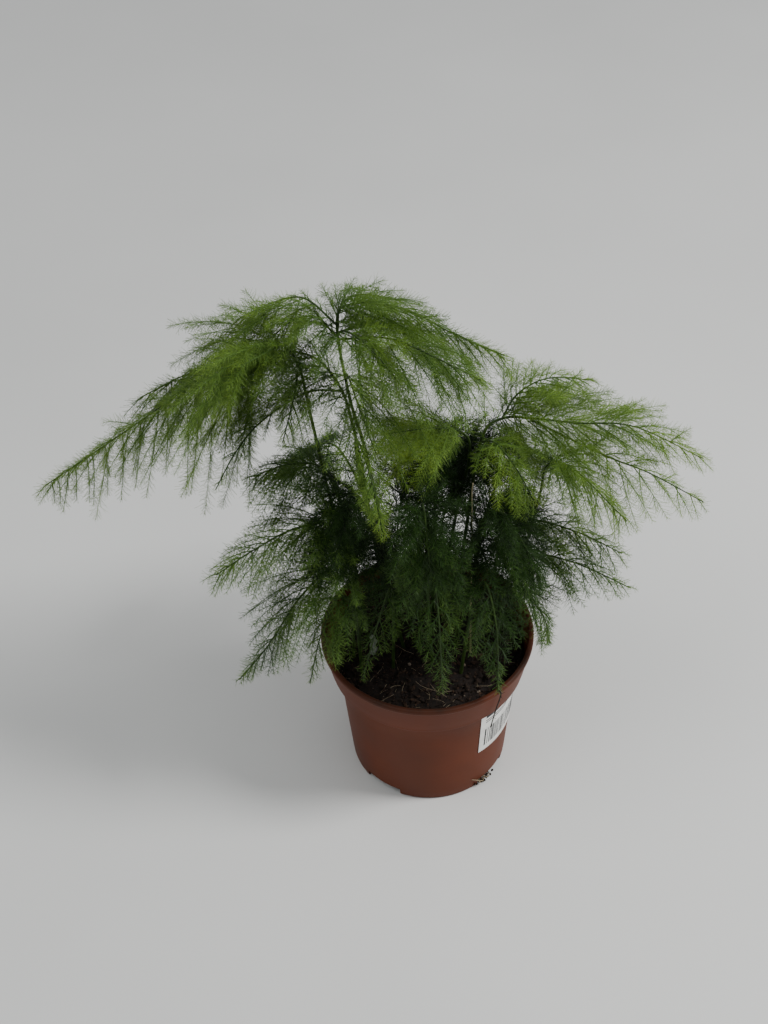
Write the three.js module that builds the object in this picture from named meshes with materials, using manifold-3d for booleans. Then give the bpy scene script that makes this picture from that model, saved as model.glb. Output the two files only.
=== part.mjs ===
// Potted lace fern: a moulded plastic nursery pot filled with peat, a stuck-on paper label,
// and a clump of wiry fronds whose flat sprays carry fine needles.
// Millimetres, +Z up. The origin is the centre of the pot's flat underside, and the front is -Y.
import * as THREE from 'three';
import { mergeVertices } from 'three/addons/utils/BufferGeometryUtils.js';
import Module from 'manifold-3d';

const wasm = await Module();
wasm.setup();

// Driving dimensions of the pot
const POT_HEIGHT = 88;
const RIM_RADIUS = 54.2;
const BASE_RADIUS = 41;
const BODY_TOP_RADIUS = 46.2;
const BAND_BOTTOM = 67.2;
const BAND_BOTTOM_RADIUS = 50;
const WALL = 1.3;
const FLOOR = 1.6;
const SEGMENTS = 30;
const GAP = 0.35;

// Driving dimensions of the notches round the foot
const NOTCH_COUNT = 4;
const NOTCH_WIDTH = 21;
const NOTCH_HEIGHT = 5;
const NOTCH_DEPTH = 6;
const NOTCH_DIRECTION = 51;

// Driving dimensions of the soil, its fertiliser beads and the holes that the stems stand in
const SOIL_TOP = 76;
const SOIL_LUMP = 1.1;
const LUMPS_WITHIN = 47;
const BEAD_RADIUS = 1.6;
const BEAD_COUNT = 5;
const BEAD_PITCH = 2.6;
const STEM_BURIED = 10;
const HOLE_CLEARANCE = 0.55;
const HOLE_SIDES = 5;

// Driving dimensions of the label, whose left edge is measured round from the front
const LABEL_LEFT = 33.5;
const LABEL_WIDTH = 38;
const LABEL_BOTTOM = 32;
const LABEL_HEIGHT = 33;
const LABEL_THICK = 0.4;

// Driving dimensions of the foliage
const STEM_RADIUS = 0.95;
const STEM_TIP_RADIUS = 0.75;
const STEM_STEPS = 10;
const BRANCH_RADIUS = 0.5;
const BRANCH_TIP_RADIUS = 0.4;
const NEEDLE_LENGTH = 6;
const NEEDLE_ROOT = 1.1;
const NEEDLE_ANGLE = 48;
const WHORL_PITCH = 9.8;
const WHORL_FIRST = 3.5;
const WHORL_LAST = 2;
const TIP_SHARE = 0.88;
const STEM_SHARE = 0.9;
const BRANCH_STRIDE = 3;
const BRANCH_ANGLE = 62;
const ANGLE_CLOSING = 28;
const ANGLE_SPREAD = 12;
const RISE_SPREAD = 0.16;
const FORWARD_BEND = 0.22;
const DRY_RADIUS = 0.45;
const THREAD_TIP_RADIUS = 0.3;
const THIN_SIDES = 4;

// How far the pieces of one frond stay clear of those of another
const CORE_CLEARANCE = 0.6;
const WHORL_REACH = 4.9;

const UP = new THREE.Vector3(0, 0, 1);
const rad = THREE.MathUtils.degToRad;
const v = (x, y, z) => new THREE.Vector3(x, y, z);
const times = (n, make) => Array.from({ length: n }, (_, i) => make(i));

// A direction in the ground plane, in degrees round from the front towards +X
const heading = (degrees) => v(Math.sin(rad(degrees)), -Math.cos(rad(degrees)), 0);

// A point by its direction round the pot, its distance from the axis and its height
const polar = (degrees, r, z) => heading(degrees).multiplyScalar(r).setZ(z);

// A repeatable number from 0 to 1
function chance(seed, k) {
  const x = Math.sin(seed * 12.9898 + k * 78.233) * 43758.5453;
  return x - Math.floor(x);
}

function distanceToSegment(p, a, b) {
  return new THREE.Line3(a, b).closestPointToPoint(p, true, v(0, 0, 0)).distanceTo(p);
}

// Closed geometry to a solid, and a solid back to geometry

function solid(geometry) {
  const bare = geometry.clone();
  bare.deleteAttribute('normal');
  bare.deleteAttribute('uv');
  const merged = mergeVertices(bare, 1e-5);
  return new wasm.Manifold(new wasm.Mesh({
    numProp: 3,
    vertProperties: new Float32Array(merged.attributes.position.array),
    triVerts: new Uint32Array(merged.index.array),
  }));
}

function geometryOf(manifold) {
  const { vertProperties, triVerts } = manifold.getMesh();
  const geometry = new THREE.BufferGeometry();
  geometry.setAttribute('position', new THREE.BufferAttribute(new Float32Array(vertProperties), 3));
  geometry.setIndex(Array.from(triVerts));
  return geometry;
}

// The solids joined into one body, without the scraps and sealed hollows that joining leaves
function joined(solids) {
  const bodies = wasm.Manifold.union(solids).decompose();
  return bodies.reduce((best, body) => (body.volume() > best.volume() ? body : best));
}

function meshed(vertices, faces) {
  const geometry = new THREE.BufferGeometry();
  const numbers = vertices.flatMap((p) => p.toArray());
  geometry.setAttribute('position', new THREE.Float32BufferAttribute(numbers, 3));
  geometry.setIndex(faces.flat());
  return geometry;
}

// A turned shape about +Z from [radius, height] points, with its upper face lumped
function turned(profile, lump = () => 0) {
  const geometry = new THREE.LatheGeometry(profile.map(([r, z]) => new THREE.Vector2(r, z)), SEGMENTS);
  geometry.rotateX(Math.PI / 2);
  const position = geometry.attributes.position;
  for (let i = 0; i < position.count; i += 1) {
    const p = v(0, 0, 0).fromBufferAttribute(position, i);
    position.setZ(i, p.z + lump(p));
  }
  return solid(geometry);
}

// A skin over sections of equal point counts, closed by a flat face at each end
function lofted(sections) {
  const n = sections[0].length;
  const faces = [];
  for (let i = 0; i + 1 < sections.length; i += 1) {
    for (let k = 0; k < n; k += 1) {
      const [a, b] = [i * n + k, i * n + ((k + 1) % n)];
      faces.push([a, b, b + n], [a, b + n, a + n]);
    }
  }
  const last = (sections.length - 1) * n;
  for (let k = 1; k + 1 < n; k += 1) faces.push([0, k + 1, k], [last, last + k, last + k + 1]);
  return solid(meshed(sections.flat(), faces));
}

// Frames carried along a route without twisting
function framesAlong(route) {
  const at = (i) => route[THREE.MathUtils.clamp(i, 0, route.length - 1)];
  const directionAt = (i) => at(i + 1).clone().sub(at(i - 1)).normalize();
  let first = Math.abs(directionAt(0).z) > 0.9 ? v(1, 0, 0) : UP.clone();
  return route.map((centre, i) => {
    const direction = directionAt(i);
    first = first.clone().addScaledVector(direction, -first.dot(direction)).normalize();
    return { centre, first, second: direction.clone().cross(first), direction };
  });
}

// The direction at an angle round a frame
function outward(frame, angle) {
  return frame.first.clone().multiplyScalar(Math.cos(angle)).addScaledVector(frame.second, Math.sin(angle));
}

function ring(frame, sides, radius, turn = 0) {
  const angles = times(sides, (k) => turn + (k * 2 * Math.PI) / sides);
  return angles.map((angle) => frame.centre.clone().addScaledVector(outward(frame, angle), radius));
}

function tube(route, sides, startRadius, endRadius) {
  const frames = framesAlong(route);
  const radiusAt = (i) => THREE.MathUtils.lerp(startRadius, endRadius, i / (frames.length - 1));
  return lofted(frames.map((frame, i) => ring(frame, sides, radiusAt(i))));
}

// A three-sided branchlet that ends in a point. Each whorl is a place on it, in millimetres from its
// root, where three needles stand on the branchlet's faces, turned 60 degrees from the last whorl. The
// faces between whorls are split along the diagonal that bulges, which depends on which way it turns.
function needledBranch(branch, whorls) {
  const stations = [{ at: 0, turn: 0 }];
  whorls.forEach(({ at, needled }, j) => {
    const turn = (j % 2) * rad(60);
    if (needled) stations.push({ at: at - NEEDLE_ROOT / 2, turn, needled });
    stations.push({ at: at + (needled ? NEEDLE_ROOT / 2 : 0), turn });
  });
  const frames = framesAlong([...stations.map(({ at }) => at / branch.length), 1].map(branch.pointAt));
  const radiusAt = (at) => THREE.MathUtils.lerp(BRANCH_RADIUS, BRANCH_TIP_RADIUS, at / branch.length);
  const vertices = stations.flatMap(({ at, turn }, i) => ring(frames[i], 3, radiusAt(at), turn));
  const tip = vertices.push(branch.pointAt(1)) - 1;
  const faces = [[0, 2, 1]];
  stations.forEach(({ turn, needled }, i) => {
    for (let k = 0; k < 3; k += 1) {
      const [a, b] = [3 * i + k, 3 * i + ((k + 1) % 3)];
      if (needled) {
        const root = [a, b, b + 3, a + 3];
        const side = outward(frames[i], turn + ((k + 0.5) * 2 * Math.PI) / 3);
        const apex = vertices.push(needleTip(root.map((j) => vertices[j]), frames[i].direction, side)) - 1;
        root.forEach((j, n) => faces.push([j, root[(n + 1) % 4], apex]));
      } else if (i + 1 < stations.length) {
        if (stations[i + 1].turn > turn) faces.push([a, b, a + 3], [b, b + 3, a + 3]);
        else faces.push([a, b, b + 3], [a, b + 3, a + 3]);
      } else {
        faces.push([a, b, tip]);
      }
    }
  });
  return solid(meshed(vertices, faces));
}

function needleTip(root, along, side) {
  const middle = root.reduce((sum, p) => sum.add(p), v(0, 0, 0)).divideScalar(root.length);
  return middle.addScaledVector(along, Math.cos(rad(NEEDLE_ANGLE)) * NEEDLE_LENGTH)
    .addScaledVector(side, Math.sin(rad(NEEDLE_ANGLE)) * NEEDLE_LENGTH);
}

// Outer radius of the pot's body below its band
function bodyRadius(z) {
  return THREE.MathUtils.lerp(BASE_RADIUS, BODY_TOP_RADIUS, z / BAND_BOTTOM);
}

// Pot: a tapered wall, a band that steps out below the rim, a beaded lip and four notches in the foot

function notch(direction) {
  const box = new THREE.BoxGeometry(NOTCH_WIDTH, NOTCH_DEPTH * 2, NOTCH_HEIGHT * 2);
  box.translate(0, -BASE_RADIUS, 0);
  box.rotateZ(rad(direction));
  return solid(box);
}

function pot() {
  const inner = (z) => bodyRadius(z) - WALL;
  const lip = RIM_RADIUS - WALL * 2;
  const body = turned([
    [0, 0], [BASE_RADIUS - 1.4, 0], [bodyRadius(1.2), 1.2], [BODY_TOP_RADIUS, BAND_BOTTOM],
    [BAND_BOTTOM_RADIUS - 0.4, BAND_BOTTOM], [BAND_BOTTOM_RADIUS, BAND_BOTTOM + 0.8],
    [RIM_RADIUS - 0.9, POT_HEIGHT - 3.4], [RIM_RADIUS, POT_HEIGHT - 2.8], [RIM_RADIUS, POT_HEIGHT - 0.8],
    [RIM_RADIUS - 0.8, POT_HEIGHT], [lip + 0.5, POT_HEIGHT], [lip, POT_HEIGHT - 0.8],
    [BAND_BOTTOM_RADIUS - WALL, BAND_BOTTOM + 2.1], [inner(BAND_BOTTOM), BAND_BOTTOM + 1.3],
    [inner(FLOOR), FLOOR], [0, FLOOR],
  ]);
  const notches = times(NOTCH_COUNT, (i) => notch(NOTCH_DIRECTION + (i * 360) / NOTCH_COUNT));
  return notches.reduce((left, cut) => left.subtract(cut), body);
}

// Soil: fills the pot, with a lumpy top, beads of fertiliser, and root threads out of one notch

const BEADS_AT = v(-28, 0, SOIL_TOP + 1);

function beads() {
  return times(BEAD_COUNT, (i) => {
    const bead = new THREE.IcosahedronGeometry(BEAD_RADIUS);
    bead.translate(BEADS_AT.x + (i % 2) * 0.9, BEADS_AT.y + (i - 2) * BEAD_PITCH, BEADS_AT.z);
    return solid(bead);
  });
}

// A thread of root that leaves a notch and lies up the pot's side, drifting round it as it climbs
function rootThread(direction, drift, top) {
  const outside = bodyRadius(top) + DRY_RADIUS + GAP;
  const route = [
    [0, 36, 3.6], [0, 39.5, 3], [0.2, outside + 0.4, 3.2], [0.6, outside + 0.2, (3 + top) / 2],
    [1, outside, top],
  ].map(([share, r, z]) => polar(direction + drift * share, r, z));
  return tube(route, THIN_SIDES, DRY_RADIUS, THREAD_TIP_RADIUS);
}

function stemHole({ x, y }) {
  const radius = (STEM_RADIUS + HOLE_CLEARANCE) / Math.cos(Math.PI / HOLE_SIDES);
  const bottom = v(x, y, SOIL_TOP - STEM_BURIED - GAP);
  return tube([bottom, bottom.clone().setZ(SOIL_TOP + 6)], HOLE_SIDES, radius, radius);
}

function soil(feet) {
  const side = (z) => bodyRadius(z) - WALL - GAP;
  const lump = (p) => {
    const r = Math.hypot(p.x, p.y);
    if (p.z < SOIL_TOP - 0.5 || r > LUMPS_WITHIN) return 0;
    const broad = Math.sin(p.x * 0.31 + 1.2) * Math.cos(p.y * 0.37);
    return SOIL_LUMP * (broad + 0.5 * Math.sin(p.x * 0.9 - p.y * 0.7));
  };
  const bandSide = BAND_BOTTOM_RADIUS - WALL - GAP;
  const body = turned([
    [0, FLOOR + GAP], [side(FLOOR), FLOOR + GAP], [side(BAND_BOTTOM), BAND_BOTTOM + 1.7],
    [bandSide, BAND_BOTTOM + 2.5], [bandSide + 0.9, SOIL_TOP - 0.8], [43, SOIL_TOP - 0.2], [32, SOIL_TOP],
    [21, SOIL_TOP + 0.3], [10, SOIL_TOP + 0.6], [0, SOIL_TOP + 0.6],
  ], lump);
  const holed = feet.reduce((left, foot) => left.subtract(stemHole(foot)), body);
  return joined([holed, ...beads(), rootThread(53, -8, 9), rootThread(50, 6, 6)]);
}

// Label: a thin curved rectangle stuck to the pot below its band

function label() {
  const columns = 10;
  const top = LABEL_BOTTOM + LABEL_HEIGHT;
  const skin = GAP + LABEL_THICK;
  return lofted(times(columns + 1, (i) => {
    const turn = (LABEL_WIDTH / bodyRadius(LABEL_BOTTOM)) * (i / columns);
    const direction = LABEL_LEFT + THREE.MathUtils.radToDeg(turn);
    const corner = (z, lift) => polar(direction, bodyRadius(z) + lift, z);
    return [corner(top, skin), corner(LABEL_BOTTOM, skin), corner(LABEL_BOTTOM, GAP), corner(top, GAP)];
  }));
}

// Dry bits: a pale dead stem standing in the clump, and a dark strand that hangs over the rim

const DRY_STEM_FOOT = v(22, -6, SOIL_TOP);
const DRY_STEM_TOP = v(22, -5, 192);

function dryStem() {
  const buried = DRY_STEM_FOOT.clone().setZ(SOIL_TOP - STEM_BURIED);
  const clear = DRY_STEM_FOOT.clone().setZ(SOIL_TOP + 4);
  return tube([buried, clear, DRY_STEM_TOP], THIN_SIDES, DRY_RADIUS + 0.15, DRY_RADIUS);
}

function dryStrand() {
  const over = DRY_RADIUS + GAP + 0.2;
  const route = [
    [41, 45, SOIL_TOP + 1.6], [40, 49, SOIL_TOP + 6],
    [39, RIM_RADIUS - 2.8, POT_HEIGHT + over + 0.2], [38.5, RIM_RADIUS - 0.4, POT_HEIGHT + over],
    [38, RIM_RADIUS + over + 0.2, POT_HEIGHT - 1.4], [37.5, RIM_RADIUS + over, POT_HEIGHT - 5],
    [37, BAND_BOTTOM_RADIUS + 3, BAND_BOTTOM + 6], [35, BAND_BOTTOM_RADIUS + 1.6, 60],
  ].map(([direction, r, z]) => polar(direction, r, z));
  return tube(route, THIN_SIDES, DRY_RADIUS, DRY_RADIUS * 0.8);
}

// Fronds. A frond is one or more limbs, each with the points that its stem passes, the share of it that
// is bare, how many branchlets it has, their longest reach on the far and the near side, how far they
// droop, and how much more they lean towards the limb's tip than the usual angle.

function limb(points, bare, count, far, near, droop, acute = 0) {
  return { points: points.map(([x, y, z]) => v(x, y, z)), bare, count, far, near, droop, acute };
}

// A plain frond's limb: it rises from its foot and bows over in one direction
function bow(x, y, direction, rise, reach, drop, ...rest) {
  const foot = v(x, y, SOIL_TOP);
  const steps = [[0, 0], [0.12, rise * 0.6], [0.42, rise], [0.76, rise - drop * 0.4], [1, rise - drop]];
  const points = steps.map(([share, up]) => polar(direction, reach * share, up).add(foot).toArray());
  return limb(points, ...rest);
}

const FRONDS = {
  left_arch: [
    limb([[-30, 15, 76], [-44, 15, 160], [-51, 18, 214], [-56, 22, 246], [-68, 24, 256], [-91, 26, 242],
      [-136, 30, 205], [-184, 32, 168]], 0.5, 30, 54, 58, 0.42, 10),
  ],
  top_arch: [
    limb([[-13, 20, 76], [-26, 20, 185], [-33, 22, 223], [-37, 26, 262], [-31, 30, 270], [-8, 30, 267],
      [16, 27, 253], [37, 20, 246]], 0.48, 27, 30, 54, 0.4, 14),
    limb([[-37, 26, 262], [-51, 36, 270], [-66, 42, 264], [-83, 44, 254]], 0.05, 15, 20, 56, 0.45, 10),
    limb([[-36, 25, 255], [-14, 12, 264], [6, 2, 260], [25, -2, 250]], 0.1, 15, 36, 48, 0.5, 10),
    limb([[-34, 24, 236], [-32, 8, 244], [-28, -6, 238], [-22, -18, 224]], 0.1, 12, 38, 38, 0.5),
  ],
  back_left_arch: [
    limb([[-20, 28, 76], [-27, 27, 150], [-32, 26, 200], [-38, 29, 226], [-52, 37, 238], [-80, 46, 232],
      [-110, 50, 219], [-134, 50, 206]], 0.4, 27, 36, 58, 0.4, 6),
    limb([[-36, 29, 222], [-52, 24, 226], [-73, 14, 219], [-86, 4, 209], [-97, 0, 190]],
      0.2, 8, 16, 16, 0.1),
  ],
  right_arch: [
    limb([[14, 12, 76], [20, 14, 140], [27, 16, 199], [37, 20, 209], [53, 20, 208], [73, 18, 206],
      [98, 14, 206], [131, 10, 188]], 0.42, 30, 60, 46, 0.22, 6),
    limb([[50, 20, 208], [84, 6, 196], [104, -2, 191], [130, -6, 175]], 0.15, 12, 30, 36, 0.4, 6),
  ],
  centre_spray: [
    limb([[6, 14, 76], [15, 15, 150], [22, 17, 190], [18, 15, 206], [3, 9, 214], [-19, 4, 216]],
      0.64, 18, 34, 30, 0.4),
  ],
  right_spray: [
    limb([[28, 6, 76], [46, 4, 130], [54, 4, 172], [57, 2, 195], [68, -6, 199], [92, -20, 178]],
      0.6, 20, 36, 40, 0.6, 6),
  ],
  drooping_tip: [
    limb([[-12, -2, 76], [-24, 2, 150], [-31, 2, 206], [-29, -6, 219], [-24, -24, 211], [-20, -35, 188]],
      0.66, 12, 12, 12, 0.4),
  ],
  left_middle: [
    limb([[-34, 8, 76], [-36, 12, 140], [-46, 13, 186], [-62, 11, 194], [-80, 8, 190]],
      0.22, 26, 36, 40, 0.5),
  ],
  left_low: [
    limb([[-38, -6, 76], [-36, -2, 130], [-42, -2, 164], [-60, -8, 171], [-80, -17, 167], [-99, -23, 157]],
      0.24, 26, 36, 40, 0.4, 6),
  ],
  left_front: [
    limb([[-34, -18, 76], [-35, -12, 120], [-42, -14, 150], [-60, -22, 140], [-78, -31, 115],
      [-93, -38, 99]], 0.2, 30, 46, 42, 0.4, 10),
  ],
  right_middle: [
    limb([[36, -2, 76], [40, 0, 116], [50, 0, 138], [72, -4, 136], [99, -12, 125]], 0.22, 23, 32, 32, 0.5),
  ],
  right_high: [
    limb([[34, 12, 76], [36, 10, 130], [48, 9, 153], [72, 6, 148], [96, 2, 135]], 0.24, 23, 32, 32, 0.5),
  ],
  right_front: [
    limb([[32, -18, 76], [36, -16, 116], [44, -16, 134], [56, -19, 115], [60, -21, 97]],
      0.22, 23, 34, 28, 0.5),
  ],
  front_hanging: [
    limb([[2, -12, 76], [0, -17, 140], [1, -28, 172], [4, -44, 142], [5, -51, 98]], 0.24, 27, 34, 34, 0.7),
  ],
  front_right_hanging: [
    limb([[16, -20, 76], [21, -22, 126], [26, -30, 152], [31, -42, 134], [32, -50, 96]],
      0.24, 24, 30, 30, 0.7),
  ],
  front_left_low: [
    limb([[-18, -16, 76], [-17, -18, 120], [-18, -24, 144], [-25, -33, 128], [-33, -40, 98]],
      0.28, 21, 28, 28, 0.7),
  ],
  back_left: [bow(-19, 35, 222, 84, 78, 40, 0.26, 23, 44, 44, 0.5)],
  back_middle: [bow(2, 38, 176, 82, 74, 40, 0.26, 23, 44, 44, 0.5)],
  back_right: [bow(24, 30, 132, 84, 72, 40, 0.26, 23, 42, 42, 0.5)],
  inner_left: [bow(-16, 4, 300, 112, 44, 34, 0.16, 27, 42, 42, 0.5)],
  inner_right: [bow(14, -4, 62, 106, 44, 34, 0.16, 27, 40, 40, 0.5)],
  inner_front: [bow(-4, -6, 8, 118, 34, 30, 0.16, 27, 40, 40, 0.5)],
  inner_back: [bow(4, 24, 160, 104, 36, 26, 0.16, 27, 42, 42, 0.5)],
};

// The routes of the limbs and branchlets, before any of them is made solid

function curveOf(points) {
  return new THREE.CatmullRomCurve3(points, false, 'catmullrom', 0.5);
}

// How long a branchlet is, as a share of the longest, by its place on the leafy stretch
function branchShare(u) {
  return 0.14 + 0.86 * Math.min(1, 0.3 + u / 0.16) * (1 - u) ** 0.85;
}

// Branchlet number k of a limb: where it starts, its direction, its bend and its length
function branchlet(curve, { points, bare, count, far, near, droop, acute }, seed, k) {
  const u = (k + 0.5) / count;
  const t = bare + (1 - bare) * u;
  const along = curve.getPoint(t + 0.004).sub(curve.getPoint(t - 0.004)).normalize();
  const span = points.at(-1).clone().sub(curve.getPoint(bare));
  const side = k % 2 === 0 ? 1 : -1;
  const across = UP.clone().cross(span).normalize().multiplyScalar(side);
  const angle = rad(BRANCH_ANGLE - acute - ANGLE_CLOSING * u + ANGLE_SPREAD * (chance(seed, k) - 0.5));
  const direction = along.clone().multiplyScalar(Math.cos(angle)).addScaledVector(across, Math.sin(angle))
    .addScaledVector(UP, RISE_SPREAD * (chance(seed, k + 40) - 0.5)).normalize();
  const length = (across.y > 0 ? far : near) * branchShare(u) * (0.86 + 0.28 * chance(seed, k + 80));
  const fall = droop * (0.8 + 0.4 * chance(seed, k + 120));
  const bend = along.clone().multiplyScalar(FORWARD_BEND).addScaledVector(UP, -fall);
  return { t, root: curve.getPoint(t), along, direction, bend, length };
}

// The same branchlet turned about its limb and shortened
function adjusted({ root, along, direction, bend, length }, tilt, share) {
  const size = length * share;
  const straight = direction.clone().applyAxisAngle(along, rad(tilt)).multiplyScalar(size);
  const bent = bend.clone().multiplyScalar(size);
  const pointAt = (s) => root.clone().addScaledVector(straight, s).addScaledVector(bent, s * s);
  return { pointAt, length: size };
}

// Clearance between fronds: stems and branchlets as chains of points, whorls as balls

const cores = [];
const balls = [];

// How far a point is above the soil or clear of the pot's rim
function potClearance(p) {
  const r = Math.hypot(p.x, p.y);
  const rimInner = RIM_RADIUS - WALL * 2 - 3;
  const beside = Math.max(rimInner - r, r - RIM_RADIUS, 0);
  const rim = Math.hypot(beside, Math.max(p.z - POT_HEIGHT, 0));
  return r < rimInner ? Math.min(rim, p.z - SOIL_TOP - 2) : rim;
}

function coreClearance(p, owner) {
  const others = cores.filter((core) => core.owner !== owner);
  return Math.min(potClearance(p), ...others.map(({ a, b, radius }) => distanceToSegment(p, a, b) - radius));
}

function addCore(route, radius, owner) {
  for (let i = 0; i + 1 < route.length; i += 1) cores.push({ a: route[i], b: route[i + 1], radius, owner });
}

function whorlBall(branch, at) {
  const here = branch.pointAt(at / branch.length);
  const ahead = branch.pointAt(Math.min(1, (at + 1) / branch.length)).sub(here).normalize();
  return here.addScaledVector(ahead, WHORL_REACH / 2);
}

function whorlFits(ball, owner) {
  const others = balls.filter((other) => other.owner !== owner);
  const apart = others.every((other) => other.ball.distanceTo(ball) > 2 * WHORL_REACH);
  return apart && coreClearance(ball, owner) > WHORL_REACH + CORE_CLEARANCE;
}

function whorlsOf(branch, owner) {
  const whorls = [];
  for (let at = branch.length - WHORL_LAST; at > WHORL_FIRST; at -= WHORL_PITCH) {
    const ball = whorlBall(branch, at);
    whorls.unshift({ at, ball, needled: whorlFits(ball, owner) });
  }
  return whorls;
}

function samples(branch, spacing) {
  const n = Math.max(2, Math.ceil(branch.length / spacing));
  return times(n + 1, (i) => branch.pointAt(i / n));
}

const SHARES_TRIED = [1, 0.75, 0.55];
const TILTS_TRIED = [0, 14, -14, 28, -28, 42, -42, 60, -60];

// The first lie of a branchlet that clears the other fronds with the most whorls kept
function placed(plan, owner) {
  let best = null;
  for (const share of SHARES_TRIED) {
    for (const tilt of TILTS_TRIED) {
      const branch = adjusted(plan, tilt, share);
      const route = samples(branch, 3);
      if (route.every((p) => coreClearance(p, owner) > BRANCH_RADIUS + CORE_CLEARANCE)) {
        const whorls = whorlsOf(branch, owner);
        const kept = whorls.filter(({ needled }) => needled).length;
        if (!best || kept > best.kept) best = { branch, whorls, kept, route };
        if (kept === whorls.length) return best;
      }
    }
  }
  return best && best.kept > 0 ? best : null;
}

// The limb's needled end, past the stretch that is a plain stem
function limbTip(curve) {
  const pointAt = (s) => curve.getPoint(TIP_SHARE + (1 - TIP_SHARE) * s);
  return { pointAt, length: curve.getLength() * (1 - TIP_SHARE) };
}

const fronds = Object.entries(FRONDS).map(([name, limbs], i) => ({
  name,
  limbs: limbs.map((spec, j) => ({ spec, curve: curveOf(spec.points), seed: i + 1 + 30 * j })),
  branches: [],
}));

fronds.forEach(({ name, limbs }) => {
  limbs.forEach(({ curve }) => addCore(curve.getPoints(16), STEM_RADIUS, name));
});
addCore([DRY_STEM_FOOT, DRY_STEM_TOP], DRY_RADIUS, 'dry_stem');

function keep(frond, branch, whorls) {
  frond.branches.push(needledBranch(branch, whorls));
  whorls.filter(({ needled }) => needled).forEach(({ ball }) => balls.push({ ball, owner: frond.name }));
}

fronds.forEach((frond) => {
  frond.limbs.forEach(({ curve }) => {
    const tip = limbTip(curve);
    keep(frond, tip, whorlsOf(tip, frond.name));
  });
});

// Branchlets are taken in turn from every frond, so that each gets its share of the room
const plans = fronds.map((frond) => frond.limbs.flatMap(({ spec, curve, seed }) => {
  const numbers = times(Math.floor(spec.count / BRANCH_STRIDE), (j) => 1 + j * BRANCH_STRIDE);
  return numbers.map((k) => branchlet(curve, spec, seed, k)).filter(({ t }) => t < TIP_SHARE);
}));
for (let round = 0; round < Math.max(...plans.map((list) => list.length)); round += 1) {
  fronds.forEach((frond, i) => {
    const lie = round < plans[i].length ? placed(plans[i][round], frond.name) : null;
    if (!lie) return;
    keep(frond, lie.branch, lie.whorls);
    addCore(lie.route, BRANCH_RADIUS, frond.name);
  });
}

// The first limb stands straight in its hole and then follows its curve. The others start inside it.
function frondSolid({ limbs, branches }) {
  const stems = limbs.map(({ curve }, i) => {
    const route = times(STEM_STEPS + 1, (j) => curve.getPoint((j / STEM_STEPS) * STEM_SHARE));
    if (i === 0) route.unshift(route[0].clone().setZ(SOIL_TOP - STEM_BURIED));
    return tube(route, THIN_SIDES, i === 0 ? STEM_RADIUS : STEM_TIP_RADIUS, STEM_TIP_RADIUS);
  });
  return joined([...stems, ...branches]);
}

// The pieces, in the colours of the real ones

const finish = (color, roughness) => new THREE.MeshStandardMaterial({ color, roughness, metalness: 0 });
const plastic = finish('#7a4434', 0.45);
const peat = finish('#1f1512', 0.95);
const paper = finish('#e9e8e4', 0.7);
const foliage = finish('#3f6a22', 0.6);
const paleStraw = finish('#8c866c', 0.8);
const darkStraw = finish('#1d1a16', 0.8);

const plant = new THREE.Group();

function add(name, manifold, material) {
  const mesh = new THREE.Mesh(geometryOf(manifold), material);
  mesh.name = name;
  plant.add(mesh);
}

add('pot', pot(), plastic);
add('soil', soil([...fronds.map(({ limbs }) => limbs[0].spec.points[0]), DRY_STEM_FOOT]), peat);
add('label', label(), paper);
add('dry_stem', dryStem(), paleStraw);
add('dry_strand', dryStrand(), darkStraw);
fronds.forEach((frond) => add(`frond_${frond.name}`, frondSolid(frond), foliage));

export default plant;
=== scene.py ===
import bmesh
import bpy
import numpy as np
from mathutils import Matrix, Vector, noise


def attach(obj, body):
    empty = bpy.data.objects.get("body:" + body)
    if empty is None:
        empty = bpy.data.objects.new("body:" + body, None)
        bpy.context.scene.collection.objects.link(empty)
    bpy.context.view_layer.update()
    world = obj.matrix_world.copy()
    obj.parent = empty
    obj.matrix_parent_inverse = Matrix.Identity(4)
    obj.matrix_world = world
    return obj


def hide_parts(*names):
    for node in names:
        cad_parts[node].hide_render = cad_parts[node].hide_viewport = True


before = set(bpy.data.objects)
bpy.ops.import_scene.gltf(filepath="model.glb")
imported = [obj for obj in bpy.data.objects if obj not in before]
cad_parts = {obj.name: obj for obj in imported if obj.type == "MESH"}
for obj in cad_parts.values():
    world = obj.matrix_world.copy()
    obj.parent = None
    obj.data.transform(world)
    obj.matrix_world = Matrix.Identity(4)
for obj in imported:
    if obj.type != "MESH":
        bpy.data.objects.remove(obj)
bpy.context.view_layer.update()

MM = 0.001
UP = np.array([0.0, 0.0, 1.0])

# Pot, in millimetres, with directions in degrees round from the front towards +X
POT_HEIGHT = 88
RIM_RADIUS = 54.2
BASE_RADIUS = 41
BODY_TOP_RADIUS = 46.2
BAND_BOTTOM = 67.2
BAND_BOTTOM_RADIUS = 50
WALL = 1.3
FLOOR = 1.6
POT_SEGMENTS = 180
FOOT_ROUND = 1.5
RECESS_RADIUS = 24
RECESS_DEPTH = 0.6
RECESS_BEVEL = 1
STEP_BEVEL = 0.25
STEP_LEDGE = 1
BAND_ROUND = 0.8
BODY_RINGS = (6, 20, 36, 52, 66)
BAND_RINGS = (4, 8, 12, 16.2)
LIP_HEIGHT = 4
LIP_PROUD = 1
LIP_NECK = (0.9, 3.5)
LIP_ROUNDS = (1.1, 1.2, 0.7)
BAND_INSIDE = (1.6, 9)
# How far below the top the lip is painted darker, as painted shade
LIP_SHADE_DEPTH = 4
POT_SHARP = 32

# Notches round the pot's foot
NOTCH_COUNT = 4
NOTCH_WIDTH = 21
NOTCH_HEIGHT = 5
NOTCH_DEPTH = 6
NOTCH_DIRECTION = 51

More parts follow.
